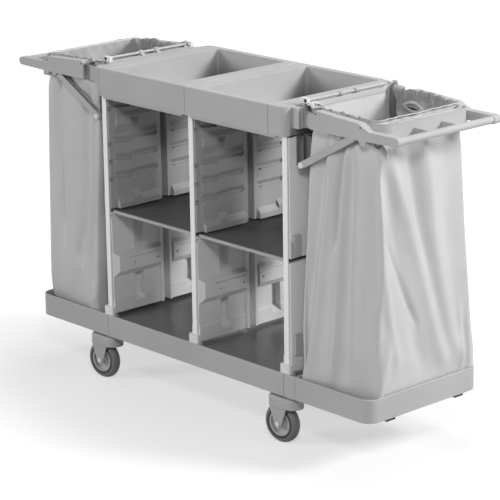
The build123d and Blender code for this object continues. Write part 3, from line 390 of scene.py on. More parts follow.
def coated_cloth(name, level):
    """Coated bag cloth on its own UV map in metres, with a weave, fine creases and a stitched hem."""
    material, flow, place = new_finish(name, "UV")
    across, down = place.along("X"), place.along("Y")
    weave = flow.math("SINE", across * WEAVE_RATE) * flow.math("SINE", down * WEAVE_RATE)
    stretched = flow.node("ShaderNodeMapping", {}, {"Vector": place, "Scale": (30.0, 9.0, 1.0)})
    crease = noise(flow, stretched, scale=1.0, detail=4.0, roughness=0.55)
    cloud = noise(flow, place, scale=4.0, detail=3.0)
    seam = 1 - flow.math("ABSOLUTE", down + HEM_DEPTH).between(*SEAM_EDGE)
    stitches = seam * flow.math("SINE", across * STITCH_RATE).between(-0.3, 0.1)
    elastic = across.between(*REAR_BAND) * down.between(*BAND_DEPTH)
    shade = greys(flow, cloud.between(0.3, 0.7), level * 0.96, level * 1.03, CLOTH_WARMTH)
    shade = mix(flow, elastic * BAND_COVER, shade, grey(level * BAND_SHADE))
    colour = mix(flow, stitches, shade, grey(level * SEAM_SHADE))
    relief = weave * 0.00006 + crease * 0.0030 - stitches * 0.0006
    settings = {"IOR": 1.47, "Sheen Weight": 0.12, "Sheen Roughness": 0.4}
    finish(flow, settings, colour, varied(0.44, crease, 0.25), relief, bump=0.55)
    return material


def woven_tape(name, level):
    """Cloth tape with fine ribs and an uneven colour."""
    material, flow, place = new_finish(name)
    ribs = flow.math("SINE", place.along("Z") * RIB_RATE)
    fibre = noise(flow, place, scale=420.0, detail=3.0, roughness=0.6)
    colour = greys(flow, fibre, level * 0.9, level * 1.08, CLOTH_WARMTH)
    relief = ribs * 0.00008 + fibre * 0.0003
    finish(flow, {"IOR": 1.47, "Sheen Weight": 0.1}, colour, varied(0.6, fibre, 0.2), relief, bump=0.5)
    return material


def rod_paint(name):
    """Grey rods with white end blocks."""
    material, flow, place = new_finish(name)
    blocks = flow.math("ABSOLUTE", place.along("Y")).between(*ROD_BLOCKS)
    rubbed = noise(flow, place, scale=30.0, detail=4.0, roughness=0.6)
    pitted = noise(flow, place, scale=900.0, detail=1.0)
    colour = mix(flow, blocks, greys(flow, rubbed, *ROD_GREYS), grey(BLOCK_GREY))
    finish(flow, {"IOR": 1.46}, colour, varied(0.34, rubbed, 0.16), relief=pitted * 0.0002, bump=0.5)
    return material


MOULDED = {
    "grey_plastic": {"level": 0.46, "roughness": 0.58},
    # The trays carry painted shade in their bins
    "tray_plastic": {"level": 0.46, "roughness": 0.62, "painted_bin_shade": BIN_HEIGHTS},
    "panel_plastic": {"level": 0.40, "roughness": 0.55},
    # Painted light: the lower walls are a lighter copy of the wall plastic, standing for the extra light in
    # the lower compartments
    "lit_lower_panel": {"level": 0.74, "roughness": 0.5},
    # The end walls' outer faces turn paler, partly painted light
    "end_panel": {"level": 0.40, "roughness": 0.55, "pale_and_lit_face": END_FACE_PALE_AND_LIT},
    "lit_lower_end_panel": {"level": 0.74, "roughness": 0.5, "pale_and_lit_face": END_FACE_PALE_AND_LIT},
    "white_plastic": {"level": 0.80, "roughness": 0.4},
    "board_edge": {"level": 0.42, "roughness": 0.4},
    "black_rubber": {"level": 0.012, "roughness": 0.6},
    "dark_plastic": {"level": 0.09, "roughness": 0.5},
    "hub_plastic": {"level": 0.50, "roughness": 0.42},
    # Painted shade seen through the bag's slots
    "slot_painted_shade": {"level": 0.015, "roughness": 0.8},
}
finishes = {name: moulded_plastic(name, **values) for name, values in MOULDED.items()}
finishes["post_metal"] = satin_metal("post_metal", level=0.82)
# The boards' front and rear levels are painted light and painted shade
finishes["dark_board"] = speckled_board("dark_board", front=0.125, rear=0.018, roughness=0.42, gloss=0.15)
finishes["floor_board"] = speckled_board("floor_board", front=0.150, rear=0.085, roughness=0.30, gloss=0.5)
finishes["steel"] = zinc_steel("steel")
finishes["rod_paint"] = rod_paint("rod_paint")
finishes["bag_cloth"] = coated_cloth("bag_cloth", level=0.56)
# The first tape's dark level is partly painted shade of the bag's corner
for name, level in (("bag_tape", 0.15), ("pale_tape", 0.66), ("bag_thread", 0.30)):
    finishes[name] = woven_tape(name, level)

# Nodes whose finish isn't that of their material slot
NODE_FINISHES = {
    "base_floor": "floor_board",
    "centre_lower_wall": "lit_lower_panel",
    "hinge_pins": "grey_plastic",
    "rail_rods": "rod_paint",
}
for end in ENDS:
    NODE_FINISHES[f"{end}_top_tray"] = "tray_plastic"
    NODE_FINISHES[f"{end}_upper_wall"] = "end_panel"
    NODE_FINISHES[f"{end}_lower_wall"] = "lit_lower_end_panel"
for subpart in record["subparts"]:
    name, slot = subpart["node"], subpart["material_slot"]
    if slot == "tyre_grey":
        roll = joints[name.replace("_tyre", "_roll")]
        material = tyre_rubber(name, roll["pos_m"], roll["axis"])
    else:
        material = finishes[NODE_FINISHES.get(name, slot)]
    for holder in nodes[name].material_slots:
        holder.material = material


# Laundry bags, drawn for the right end

# Sides 0 to 3 of a bag are the one at the cabinet, the front, the outer end and the rear. A place on its
# outline is a side plus a share of that side. Each height has the corners at which the sides start.
BAG_CORNERS = {
    0.171: ((0.480, 0.204), (0.478, -0.212), (0.750, -0.188), (0.750, 0.212)),
    0.229: ((0.472, 0.210), (0.470, -0.224), (0.757, -0.192), (0.757, 0.222)),
    0.375: ((0.472, 0.206), (0.471, -0.222), (0.757, -0.190), (0.757, 0.211)),
    0.520: ((0.473, 0.197), (0.473, -0.212), (0.756, -0.188), (0.756, 0.197)),
    0.680: ((0.474, 0.188), (0.475, -0.200), (0.754, -0.186), (0.754, 0.182)),
    0.820: ((0.475, 0.180), (0.476, -0.192), (0.751, -0.184), (0.751, 0.175)),
    0.920: ((0.476, 0.175), (0.478, -0.186), (0.747, -0.183), (0.747, 0.172)),
    0.960: ((0.476, 0.173), (0.479, -0.180), (0.740, -0.180), (0.740, 0.171)),
    0.985: ((0.472, 0.171), (0.478, -0.173), (0.731, -0.173), (0.731, 0.169)),
    1.030: ((0.464, 0.170), (0.466, -0.171), (0.728, -0.171), (0.728, 0.168)),
}
BAG_HEIGHTS = sorted(BAG_CORNERS)
BAG_FOOT, BAG_MOUTH = BAG_HEIGHTS[0], BAG_HEIGHTS[-1]
# The x and the y of each corner at those heights
CORNER_PATHS = np.array([BAG_CORNERS[z] for z in BAG_HEIGHTS]).transpose(1, 2, 0)
# Usual lengths of the sides, which turn a fold's width into a share of its side
LONG_SIDE, SHORT_SIDE = 0.39, 0.285
# Points along each side, and rows of points up the wall and up its neck
SIDE_STEPS = (90, 100, 110, 180)
WALL_TOP, WALL_ROWS = 0.93, 92
NECK_FOOT, NECK_ROWS = 0.936, 20
# Each corner is bent round over this share of the sides beside it. At the outer front corner the share of
# the front side is given for some heights instead.
CORNER_BEND = 0.035
OUTER_FRONT = 2
FRONT_BEND = ((0.20, 0.05), (0.40, 0.10), (0.65, 0.24), (0.90, 0.28), (1.00, 0.06))
# How far each fold stands out, its half width, and points of its line as a height and a place
FOLDS = {
    "right": (
        (0.017, 0.034, (0.98, 2.06), (0.743, 2.31), (0.535, 2.50), (0.271, 2.68)),
        (0.0155, 0.034, (1.00, 2.48), (0.85, 2.57), (0.667, 2.62), (0.445, 2.73), (0.26, 2.82)),
        (-0.0155, 0.026, (0.95, 2.36), (0.714, 2.455), (0.53, 2.56), (0.28, 2.74)),
        (-0.013, 0.050, (0.95, 2.82), (0.72, 2.80), (0.54, 2.81), (0.33, 2.82)),
        (-0.008, 0.010, (0.68, 2.11), (0.58, 2.22), (0.41, 2.41)),
        (-0.008, 0.024, (0.88, 2.10), (0.70, 2.16), (0.50, 2.30), (0.28, 2.45)),
        (0.0105, 0.018, (0.78, 2.015), (0.636, 2.045), (0.463, 2.11), (0.31, 2.19)),
        (0.013, 0.018, (0.18, 1.99), (0.229, 2.01), (0.36, 2.095)),
        (0.009, 0.013, (0.40, 2.89), (0.22, 2.85)),
        (-0.008, 0.012, (0.38, 2.918), (0.22, 2.89)),
        (0.008, 0.012, (0.35, 2.95), (0.22, 2.94)),
        (-0.017, 0.022, (0.86, 1.20), (0.78, 1.18), (0.62, 1.125), (0.437, 1.08), (0.25, 1.03)),
        (0.0135, 0.020, (0.93, 1.34), (0.88, 1.32), (0.63, 1.25), (0.41, 1.20), (0.25, 1.10)),
        (-0.015, 0.010, (1.00, 1.53), (0.79, 1.43), (0.64, 1.42)),
        (0.012, 0.016, (0.92, 1.56), (0.86, 1.545), (0.65, 1.48), (0.37, 1.45), (0.23, 1.40)),
        (-0.012, 0.022, (0.90, 1.65), (0.83, 1.63), (0.58, 1.60), (0.26, 1.58)),
        (0.0085, 0.030, (0.96, 1.73), (0.30, 1.75)),
        (-0.0065, 0.030, (1.00, 1.90), (0.75, 1.905), (0.50, 1.92)),
        (0.0105, 0.030, (0.95, 3.30), (0.25, 3.22)),
        (-0.0105, 0.026, (0.95, 3.50), (0.25, 3.46)),
        (0.009, 0.024, (0.92, 3.66), (0.25, 3.72)),
        (-0.0155, 0.012, (1.06, 3.93), (0.80, 3.95)),
        (0.0155, 0.010, (1.06, 3.98), (0.80, 3.99)),
        (-0.013, 0.010, (1.06, 0.03), (0.85, 0.02)),
        (-0.004, 0.020, (1.00, 0.12), (0.80, 0.25)),
        (0.0065, 0.040, (0.90, 0.50), (0.25, 0.55)),
    ),
    "left": (
        (0.0065, 0.030, (0.96, 1.92), (0.25, 1.94)),
        (-0.015, 0.016, (0.98, 1.76), (0.75, 1.745), (0.56, 1.70), (0.46, 1.68)),
        (0.01, 0.022, (0.95, 1.65), (0.70, 1.64), (0.35, 1.62)),
        (0.0085, 0.028, (0.90, 1.48), (0.30, 1.50)),
        (-0.015, 0.020, (0.90, 1.24), (0.72, 1.26), (0.64, 1.24), (0.50, 1.27), (0.40, 1.34)),
        (-0.01, 0.008, (0.40, 1.38), (0.34, 1.28)),
        (0.012, 0.016, (0.85, 1.12), (0.60, 1.10), (0.40, 1.14)),
        (0.017, 0.014, (0.27, 1.06), (0.21, 1.12)),
        (0.0115, 0.030, (0.95, 2.30), (0.25, 2.38)),
        (-0.0115, 0.026, (0.95, 2.52), (0.25, 2.56)),
        (0.0105, 0.030, (0.95, 2.74), (0.25, 2.70)),
        (0.0105, 0.030, (0.95, 3.30), (0.25, 3.22)),
        (-0.0105, 0.026, (0.95, 3.52), (0.25, 3.46)),
        (-0.018, 0.010, (1.06, 3.55), (0.90, 3.56)),
        (-0.018, 0.010, (1.06, 3.66), (0.90, 3.64)),
        (-0.0155, 0.012, (1.06, 3.92), (0.80, 3.95)),
        (0.0065, 0.040, (0.90, 0.50), (0.25, 0.55)),
    ),
}
# A fold fades round the lower end of its line, and from before its upper end to past it
FADE_LOW, FADE_BEFORE, FADE_PAST = 0.05, 0.03, 0.08
# The share of their size that folds keep at the foot of the bag, and the heights over which it grows to 1
FOOT_FOLDS, FOOT_RISE = 0.35, (0.19, 0.27)
# Pleats gather the mouth along the rear, apart from a flat patch round the slot, and ruffles run along the
# sides away from the cabinet. Their rates are radians per side, or per metre of height for their lean.
PLEATED, PLEAT_RISE = ((3.05, 3.20), (3.90, 3.98)), (0.975, 1.030)
PATCH, PATCH_TOP, PATCH_FLAT = ((3.42, 3.50), (3.86, 3.92)), (1.010, 1.030), 0.8
PLEAT_DEPTH, PLEAT_RATE, PLEAT_ROUND = 0.0070, 105, 0.6
PLEAT_SWAY, SWAY_RATE = 2.2, 29
PLEAT_LEAN, LEAN_RATE = 1.3, 40
RUFFLED, RUFFLE_RISE = ((1.0, 1.1), (3.9, 4.0)), (0.98, 1.03)
RUFFLE_DEPTH, RUFFLE_RATE, RUFFLE_LEAN = 0.0012, 47, 60
# How far the turned hem leans out and stands up at places on the outline
HEM_OUT = (
    (0.0, 0.012), (0.12, 0.002), (0.88, 0.002), (1.0, 0.012), (1.12, 0.022), (1.16, 0.014),
    (1.19, 0.004), (1.9, 0.004), (2.0, 0.006), (2.1, 0.010), (2.9, 0.010), (3.0, 0.006),
    (3.1, 0.003), (3.81, 0.003), (3.84, 0.014), (3.88, 0.022), (4.0, 0.012),
)
HEM_UP = (
    (0.0, 0.028), (0.12, 0.017), (0.88, 0.017), (1.0, 0.019), (1.15, 0.016), (1.4, 0.011),
    (1.65, 0.008), (1.87, 0.006), (3.0, 0.006), (3.15, 0.008), (3.4, 0.017), (3.84, 0.014),
    (3.93, 0.024), (4.0, 0.028),
)
# The angle of the hem's turn, its rows of points, and the row along which it is sewn, from its edge
HEM_TURN, HEM_ROWS, SEAM_ROW = 0.75 * math.pi, 10, -4
# The hem crumples where it is loose: waves with a size, a rate and a start, less of them outwards
CRUMPLES = ((0.0022, 43, 0.0), (0.0016, 71, 1.3))
CRUMPLE_OUT = 0.25
LOOSE_FRONT, LOOSE_REAR = ((1.0, 1.1), (1.9, 2.0)), (3.05, 3.15)
# Rings that close the foot, as shares of its outline, and where their cloth lies on the UV map
FOOT_RINGS = (0.8, 0.6, 0.4, 0.2)
FOOT_CLOTH = -3.0


def table(points, value):
    """A value read between the points of a table."""
    places, values = zip(*sorted(points))
    return np.interp(value, places, values)


def eased(value, low, high):
    """A smooth step from 0 to 1."""
    share = np.clip((value - low) / (high - low), 0, 1)
    return share * share * (3 - 2 * share)


def window(value, rise, fall):
    """A smooth step up to 1 and down again."""
    return eased(value, *rise) * (1 - eased(value, *fall))


def bag_outline(corners, turns, before, after):
    """Points on a four-sided outline whose corners are bent round over shares of the sides beside them."""
    count = len(corners)
    sides = np.floor(turns).astype(int) % count
    share = turns - np.floor(turns)
    flat = corners[sides] + (corners[(sides + 1) % count] - corners[sides]) * share[:, None]
    nearest = np.round(turns)
    corner = nearest.astype(int) % count
    near, far = before[corner], after[corner]
    gap = turns - nearest
    reach = np.clip((gap + near) / (near + far), 0, 1)[:, None]
    here = corners[corner]
    start = here + (corners[corner - 1] - here) * near[:, None]
    stop = here + (corners[(corner + 1) % count] - here) * far[:, None]
    arc = start * (1 - reach) ** 2 + here * 2 * reach * (1 - reach) + stop * reach ** 2
    return np.where(((gap > -near) & (gap < far))[:, None], arc, flat)


def fold_height(folds, turns, z):
    """How far the folds stand out from the bag at one height."""
    lengths = np.where(np.floor(turns) % 2 == 0, LONG_SIDE, SHORT_SIDE)
    full = len(SIDE_STEPS)
    half = full / 2
    total = np.zeros(len(turns))
    for size, width, *line in folds:
        low, high = min(line)[0], max(line)[0]
        fade = window(z, (low - FADE_LOW, low + FADE_LOW), (high - FADE_BEFORE, high + FADE_PAST))
        gap = (turns - table(line, z) + half) % full - half
        total += size * fade * np.exp(-(gap * lengths / width) ** 2)
    return total


def mouth_height(turns, z):
    """How far the pleats and ruffles of the mouth stand out at one height."""
    flat = window(turns, *PATCH) * (1 - eased(z, *PATCH_TOP))
    gathered = window(turns, *PLEATED) * eased(z, *PLEAT_RISE) * (1 - PATCH_FLAT * flat)
    sway = PLEAT_SWAY * np.sin(turns * SWAY_RATE) + PLEAT_LEAN * np.sin(z * LEAN_RATE)
    pleat = 1 - 2 * np.abs(np.sin(turns * PLEAT_RATE + sway)) ** PLEAT_ROUND
    ruffled = window(turns, *RUFFLED) * eased(z, *RUFFLE_RISE)
    ruffle = np.sin(turns * RUFFLE_RATE + z * RUFFLE_LEAN)
    return gathered * PLEAT_DEPTH * pleat + ruffled * RUFFLE_DEPTH * ruffle


def bag_ring(end, turns, z):
    """The outline of a bag at one height with its folds, and the directions that point out of it."""
    corners = np.array([[np.interp(z, BAG_HEIGHTS, path) for path in paths] for paths in CORNER_PATHS])
    before, after = np.full(len(corners), CORNER_BEND), np.full(len(corners), CORNER_BEND)
    before[OUTER_FRONT] = table(FRONT_BEND, z)
    plan = bag_outline(corners, turns, before, after)
    ahead = np.roll(plan, -1, 0) - np.roll(plan, 1, 0)
    out = np.stack([ahead[:, 1], -ahead[:, 0]], 1) / np.linalg.norm(ahead, axis=1)[:, None]
    calm = FOOT_FOLDS + (1 - FOOT_FOLDS) * eased(z, *FOOT_RISE)
    puff = fold_height(FOLDS[end], turns, z) * calm + mouth_height(turns, z)
    return plan + out * puff[:, None], out


def hem_rows(turns, plan, out):
    """Rows of points of the hem, which turns outward from the mouth."""
    reach, rise = table(HEM_OUT, turns), table(HEM_UP, turns)
    loose = window(turns, *LOOSE_FRONT) + eased(turns, *LOOSE_REAR)
    crumple = loose * sum(size * np.sin(turns * rate + start) for size, rate, start in CRUMPLES)
    rows = []
    for angle in np.linspace(0, HEM_TURN, HEM_ROWS + 1)[1:]:
        share = (1 - math.cos(angle)) / (1 - math.cos(HEM_TURN))
        spread = (reach + CRUMPLE_OUT * crumple) * share
        lift = rise * math.sin(angle) + crumple * math.sin(angle / 2)
        rows.append(np.column_stack([plan + out * spread[:, None], BAG_MOUTH + lift]))
    return rows


def bag_rows(end):
    """Rows of points from the bag's foot up to the edge of its hem."""
    turns = np.concatenate([side + np.arange(steps) / steps for side, steps in enumerate(SIDE_STEPS)])
    wall = np.linspace(BAG_FOOT, WALL_TOP, WALL_ROWS)
    neck = np.linspace(NECK_FOOT, BAG_MOUTH, NECK_ROWS)
    rows = []
    for z in np.concatenate([wall, neck]):
        plan, out = bag_ring(end, turns, z)
        rows.append(np.column_stack([plan, np.full(len(turns), z)]))
    return rows + hem_rows(turns, plan, out)


def band(low, high, around):
    """Faces between two rings of points, which are given by their first points."""
    steps = [(step, (step + 1) % around) for step in range(around)]
    return [(low + step, low + after, high + after, high + step) for step, after in steps]


def at_end(points, mirror):
    """Points drawn for the right end, mirrored for the left one."""
    return [(-x if mirror else x, y, z) for x, y, z in points]


def placed(name, mesh, material):
    """An object in the scene, made of a mesh and its material."""
    mesh.materials.append(material)
    piece = bpy.data.objects.new(name, mesh)
    scene.collection.objects.link(piece)
    return piece


def cloth_lengths(rows):
    """Lengths of the cloth round the bag at its middle row, and from the edge of its hem to each row."""
    belt = rows[len(rows) // 2]
    spans = np.linalg.norm(np.roll(belt, -1, 0) - belt, axis=1)
    steps = [np.linalg.norm(above - below, axis=1).mean() for below, above in zip(rows, rows[1:])]
    run = np.concatenate([[0], np.cumsum(spans)])
    rise = np.concatenate([[0], np.cumsum(steps)])
    return run, rise - rise[-1]


def laundry_bag(name, rows, mirror):
    """A bag of those rows, with a closed foot and a UV map in metres."""
    around = len(rows[0])
    middle = rows[0].mean(0)
    rings = [middle + (rows[0] - middle) * share for share in FOOT_RINGS]
    points = [tuple(point) for row in rows + rings for point in row] + [tuple(middle)]
    run, rise = cloth_lengths(rows)
    faces, places = [], []
    for level, (down, up) in enumerate(zip(rise, rise[1:])):
        faces += band(level * around, (level + 1) * around, around)
        for left, right in zip(run, run[1:]):
            places.append(((left, down), (right, down), (right, up), (left, up)))
    starts = [0] + [(len(rows) + ring) * around for ring in range(len(rings))]
    for outer, inner in zip(starts, starts[1:]):
        faces += band(inner, outer, around)
    last, tip = starts[-1], len(points) - 1
    faces += [(last + (step + 1) % around, last + step, tip) for step in range(around)]
    for face in faces[len(places):]:
        places.append([(points[corner][0], points[corner][1] + FOOT_CLOTH) for corner in face])
    if mirror:
        faces = [face[::-1] for face in faces]
        places = [place[::-1] for place in places]
    mesh = bpy.data.meshes.new(name)
    mesh.from_pydata(at_end(points, mirror), [], faces)
    layer = mesh.uv_layers.new(name="cloth")
    layer.data.foreach_set("uv", [value for place in places for corner in place for value in corner])
    mesh.polygons.foreach_set("use_smooth", [True] * len(mesh.polygons))
    return placed(name, mesh, finishes["bag_cloth"])


# Pieces on the bags and rails, drawn for the right end too

SLOT_EYE = ((0.4680, -0.149, 1.044), (0.4680, -0.131, 1.029), (0.4685, -0.113, 1.012))
SLOT_REAR = ((0.5130, 0.1675, 0.9950), (0.5535, 0.1675, 0.9935), (0.5940, 0.1670, 0.9920))
SLIT_REAR = ((0.527, 0.1655, 0.9920), (0.552, 0.1655, 0.9885), (0.578, 0.1655, 0.9875))
CORNER_STRAP = ((0.474, 0.166, 1.054), (0.481, 0.157, 1.036), (0.485, 0.152, 0.995), (0.482, 0.156, 0.940))
RIM_TAB = ((0.751, -0.168, 0.985), (0.757, -0.163, 0.968), (0.761, -0.156, 0.948), (0.757, -0.152, 0.926))
RIM_HOOK = ((0.744, -0.182, 0.985), (0.742, -0.187, 0.972), (0.752, -0.184, 0.965), (0.758, -0.177, 0.972))
TO_END, TO_FRONT, OUT_OF_CORNER, OUT_AND_UP = (1, 0, 0), (0, -1, 0), (0.7, -0.7, 0), (1, 0, 0.2)
# Half the opening of the slots and of the seam round the rear one
EYE_HALF, REAR_HALF, SEAM_HALF = 0.0060, 0.0135, 0.0195
# Half the width and half the thickness of what is swept along these lines
EYE_WELT, REAR_WELT = (0.0020, 0.0016), (0.0050, 0.0026)
EYE_SLIT, REAR_SLIT = (0.0050, 0.0008), (0.0022, 0.0010)
STRAP_SIZE, TAB_SIZE, HOOK_SIZE = (0.0110, 0.0040), (0.0060, 0.0012), (0.0030, 0.0030)
# The share of its width that is left at the tips of a slit
SLIT_TIP = 0.0002
LINE_STEPS, STRAP_STEPS, SWEEP_SIDES = 24, 30, 12
STITCH = {"Spacing": 0.0055, "Length": 0.0040, "Radius": 0.0005, "Seed": 7}
# A thread's sides, and the least and the most that chance makes of its size
STITCH_SIDES, STITCH_LEAST, STITCH_MOST = 8, 0.85, 1.1
# Both faces of each end block of a hinge rod have a bore, shown as a black disc of painted shade
BORE = {"Radius": 0.0055, "Depth": 0.0012}
BORE_SIDES = 24
BORE_INSET, BLOCK_DEPTH = 0.0075, 0.012
BORE_X, BORE_Z = rod_end[0] - BORE_INSET, rod_end[2] - BORE_INSET
BLOCK_FACES = (-rod_end[1], BLOCK_DEPTH - rod_end[1], rod_end[1] - BLOCK_DEPTH, rod_end[1])


def curved(points, count):
    """Points of a smooth line through the given ones."""
    points = np.array(points, float)
    ends = np.concatenate([[2 * points[0] - points[1]], points, [2 * points[-1] - points[-2]]])
    line = []
    for place in np.linspace(0, len(points) - 1, count):
        step = min(int(place), len(points) - 2)
        share = place - step
        a, b, c, d = ends[step:step + 4]
        bend = 2 * a - 5 * b + 4 * c - d + share * (3 * (b - c) + d - a)
        line.append(b + 0.5 * share * (c - a + share * bend))
    return np.array(line)


def leaf(points, facing, half):
    """A closed leaf-shaped outline round a line."""
    line = curved(points, LINE_STEPS)
    ahead = line[-1] - line[0]
    across = np.cross(ahead / np.linalg.norm(ahead), facing)
    swell = half * np.sin(np.linspace(0, math.pi, len(line)))[:, None] * across
    return np.concatenate([line + swell, (line - swell)[-2:0:-1]])


def sweep(path, facing, wide, thick, closed=False):
    """Points and faces of a band along a path, with its thickness in the direction that it faces."""
    path = np.array(path, float)
    ahead = np.roll(path, -1, 0) - np.roll(path, 1, 0)
    if not closed:
        ahead[0], ahead[-1] = path[1] - path[0], path[-1] - path[-2]
    across = np.cross(ahead, facing)
    across /= np.linalg.norm(across, axis=1)[:, None]
    out = np.cross(across, ahead)
    out /= np.linalg.norm(out, axis=1)[:, None]
    turns = np.arange(SWEEP_SIDES) * 2 * math.pi / SWEEP_SIDES
    points, faces = [], []
    for centre, side, front, half in zip(path, across, out, np.broadcast_to(wide, len(path))):
        points += [centre + side * half * math.cos(turn) + front * thick * math.sin(turn) for turn in turns]
    for step in range(len(path) if closed else len(path) - 1):
        faces += band(step * SWEEP_SIDES, (step + 1) % len(path) * SWEEP_SIDES, SWEEP_SIDES)
    if not closed:
        faces += [tuple(range(SWEEP_SIDES)), tuple(range(len(points) - SWEEP_SIDES, len(points)))]
    return points, faces


def slit(points, facing, wide, thick):
    """A flat band along a line, which narrows to a tip at both ends."""
    taper = SLIT_TIP + np.sin(np.linspace(0, math.pi, LINE_STEPS))
    return sweep(curved(points, LINE_STEPS), facing, wide * taper, thick)


def closed_piece(name, shapes, mirror, material):
    """One object of closed shapes with their faces turned outward."""
    work = bmesh.new()
    for points, faces in shapes:
        corners = [work.verts.new(point) for point in at_end(points, mirror)]
        for face in faces:
            work.faces.new([corners[k] for k in face]).smooth = True
    bmesh.ops.recalc_face_normals(work, faces=work.faces[:])
    mesh = bpy.data.meshes.new(name)
    work.to_mesh(mesh)
    work.free()
    return placed(name, mesh, material)


def growing_tree(name, sizes, seeded):
    """An empty Geometry Nodes tree with named sizes, a seed where it draws at random, and a material."""
    tree = bpy.data.node_groups.new(name, "GeometryNodeTree")
    kinds = {"Geometry": "NodeSocketGeometry"}
    kinds.update({size: "NodeSocketFloat" for size in sizes})
    if seeded:
        kinds["Seed"] = "NodeSocketInt"
    kinds["Material"] = "NodeSocketMaterial"
    for socket, kind in kinds.items():
        tree.interface.new_socket(socket, in_out="INPUT", socket_type=kind)
    tree.interface.new_socket("Geometry", in_out="OUTPUT", socket_type="NodeSocketGeometry")
    given = tree.nodes.new("NodeGroupInput")
    return Flow(tree), {socket.name: Flow(tree, socket) for socket in given.outputs if socket.name}


def finish_growing(flow, given, instances):
    """The end of a tree: real faces with their material."""
    real = flow.node("GeometryNodeRealizeInstances", {}, {0: instances})
    painted = flow.node("GeometryNodeSetMaterial", {}, {"Geometry": real, "Material": given["Material"]})
    flow.node("NodeGroupOutput", {}, {0: painted})
    return flow.tree


def stitch_tree():
    """Threads of uneven size laid one after the other along a line."""
    flow, given = growing_tree("row_of_stitches", ("Spacing", "Length", "Radius"), seeded=True)
    line = flow.node("GeometryNodeMeshToCurve", {}, {0: given["Geometry"]})
    spacing = {"Curve": line, "Length": given["Spacing"]}
    places = flow.node("GeometryNodeCurveToPoints", {"mode": "LENGTH"}, spacing)
    turn = Flow(flow.tree, places.socket.node.outputs["Rotation"])
    shape = {"Vertices": STITCH_SIDES, "Radius": given["Radius"], "Depth": given["Length"]}
    thread = flow.node("GeometryNodeMeshCylinder", {}, shape)
    # A Random Value node takes the limits of a number at sockets 2 and 3, and gives it at its output 1
    limits = {2: STITCH_LEAST, 3: STITCH_MOST, "Seed": given["Seed"]}
    uneven = flow.node("FunctionNodeRandomValue", {"data_type": "FLOAT"}, limits, 1)
    laid = {"Points": places, "Instance": thread, "Rotation": turn, "Scale": uneven}
    return finish_growing(flow, given, flow.node("GeometryNodeInstanceOnPoints", {}, laid))


def bore_tree():
    """Black discs of painted shade for bores, facing along the depth of the trolley, at single points."""
    flow, given = growing_tree("set_of_bores", ("Radius", "Depth"), seeded=False)
    places = flow.node("GeometryNodeMeshToPoints", {}, {0: given["Geometry"]})
    shape = {"Vertices": BORE_SIDES, "Radius": given["Radius"], "Depth": given["Depth"]}
    plug = flow.node("GeometryNodeMeshCylinder", {}, shape)
    turned = flow.node("GeometryNodeTransform", {}, {"Geometry": plug, "Rotation": (math.pi / 2, 0, 0)})
    laid = {"Points": places, "Instance": turned}
    return finish_growing(flow, given, flow.node("GeometryNodeInstanceOnPoints", {}, laid))


def grown(name, tree, points, edges, **inputs):
    """A plain object that a tree grows on points and edges."""
    line = bpy.data.meshes.new(name + "_line")
    line.from_pydata(points, edges, [])
    piece = bpy.data.objects.new(name, line)
    scene.collection.objects.link(piece)
    grower = piece.modifiers.new("grower", "NODES")
    grower.node_group = tree
    for socket in tree.interface.items_tree:
        if socket.in_out == "INPUT" and socket.name in inputs:
            grower[socket.identifier] = inputs[socket.name]
    mesh = bpy.data.meshes.new_from_object(piece.evaluated_get(bpy.context.evaluated_depsgraph_get()))
    piece.modifiers.remove(grower)
    piece.data = mesh
    mesh.name = name
    bpy.data.meshes.remove(line)
    return piece


def loop_edges(first, count):
    """Edges of a closed line of points."""
    return [(first + k, first + (k + 1) % count) for k in range(count)]


def slot_welts(end, mirror):
    """Pale rolled edges of the two slots in a bag."""
    eye = sweep(leaf(SLOT_EYE, TO_END, EYE_HALF), TO_END, *EYE_WELT, closed=True)
    rear = sweep(leaf(SLOT_REAR, TO_FRONT, REAR_HALF), TO_FRONT, *REAR_WELT, closed=True)
    return closed_piece(f"{end}_bag_slot_welts", [eye, rear], mirror, finishes["pale_tape"])


def slot_slits(end, mirror):
    """Dark sheets in the two slots, painted shade for the inside of the bag seen through them."""
    eye = slit(SLOT_EYE, TO_END, *EYE_SLIT)
    rear = slit(SLIT_REAR, TO_FRONT, *REAR_SLIT)
    return closed_piece(f"{end}_bag_slots", [eye, rear], mirror, finishes["slot_painted_shade"])


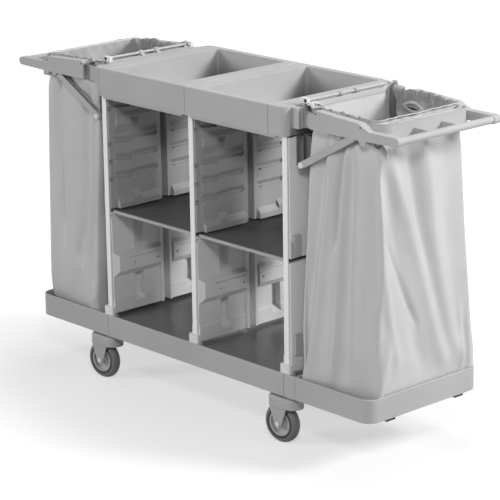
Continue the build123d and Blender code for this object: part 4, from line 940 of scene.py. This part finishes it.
def corner_strap(end, mirror):
    """The strap inside the rear corner at the cabinet, its dark colour partly the tape's own and partly
    painted shade of the corner.
    """
    strap = sweep(curved(CORNER_STRAP, STRAP_STEPS), OUT_OF_CORNER, *STRAP_SIZE)
    return closed_piece(f"{end}_bag_corner_strap", [strap], mirror, finishes["bag_tape"])


def rim_tab(end, mirror):
    """The pale tab that hangs from the rim's front corner."""
    tab = sweep(curved(RIM_TAB, LINE_STEPS), OUT_AND_UP, *TAB_SIZE)
    return closed_piece(f"{end}_rim_tab", [tab], mirror, finishes["pale_tape"])


def rim_hook(end, mirror):
    """The dark hook beside the tab."""
    hook = sweep(curved(RIM_HOOK, LINE_STEPS), TO_END, *HOOK_SIZE)
    return closed_piece(f"{end}_rim_hook", [hook], mirror, finishes["dark_plastic"])


def bag_stitches(end, rows, mirror):
    """The stitches of the hem and round the rear slot."""
    hem, slot = rows[SEAM_ROW], leaf(SLOT_REAR, TO_FRONT, SEAM_HALF)
    edges = loop_edges(0, len(hem)) + loop_edges(len(hem), len(slot))
    line = at_end(np.concatenate([hem, slot]), mirror)
    thread = finishes["bag_thread"]
    return grown(f"{end}_bag_stitches", stitches, line, edges, **STITCH, Material=thread)


def rod_bores(end, mirror):
    """Black discs of painted shade for the bores in the end blocks of a hinge rod."""
    places = at_end([(BORE_X, y, BORE_Z) for y in BLOCK_FACES], mirror)
    # The black rubber finish here is painted shade inside the bores
    return grown(f"{end}_rod_bores", bores, places, [], **BORE, Material=finishes["black_rubber"])


stitches, bores = stitch_tree(), bore_tree()
for end in ENDS:
    mirror = end == "left"
    rows = bag_rows(end)
    bag = laundry_bag(f"{end}_laundry_bag", rows, mirror)
    welts = slot_welts(end, mirror)
    slits = slot_slits(end, mirror)
    strap = corner_strap(end, mirror)
    tab = rim_tab(end, mirror)
    hook = rim_hook(end, mirror)
    sewn = bag_stitches(end, rows, mirror)
    holes = rod_bores(end, mirror)
    for piece in (bag, welts, slits, strap, sewn):
        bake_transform(piece)
    for piece, slot in ((tab, "bag_cloth"), (hook, "dark_plastic")):
        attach(piece, f"{end}_bag_frame")
    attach(holes, "chassis")
    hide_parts(f"{end}_bag")
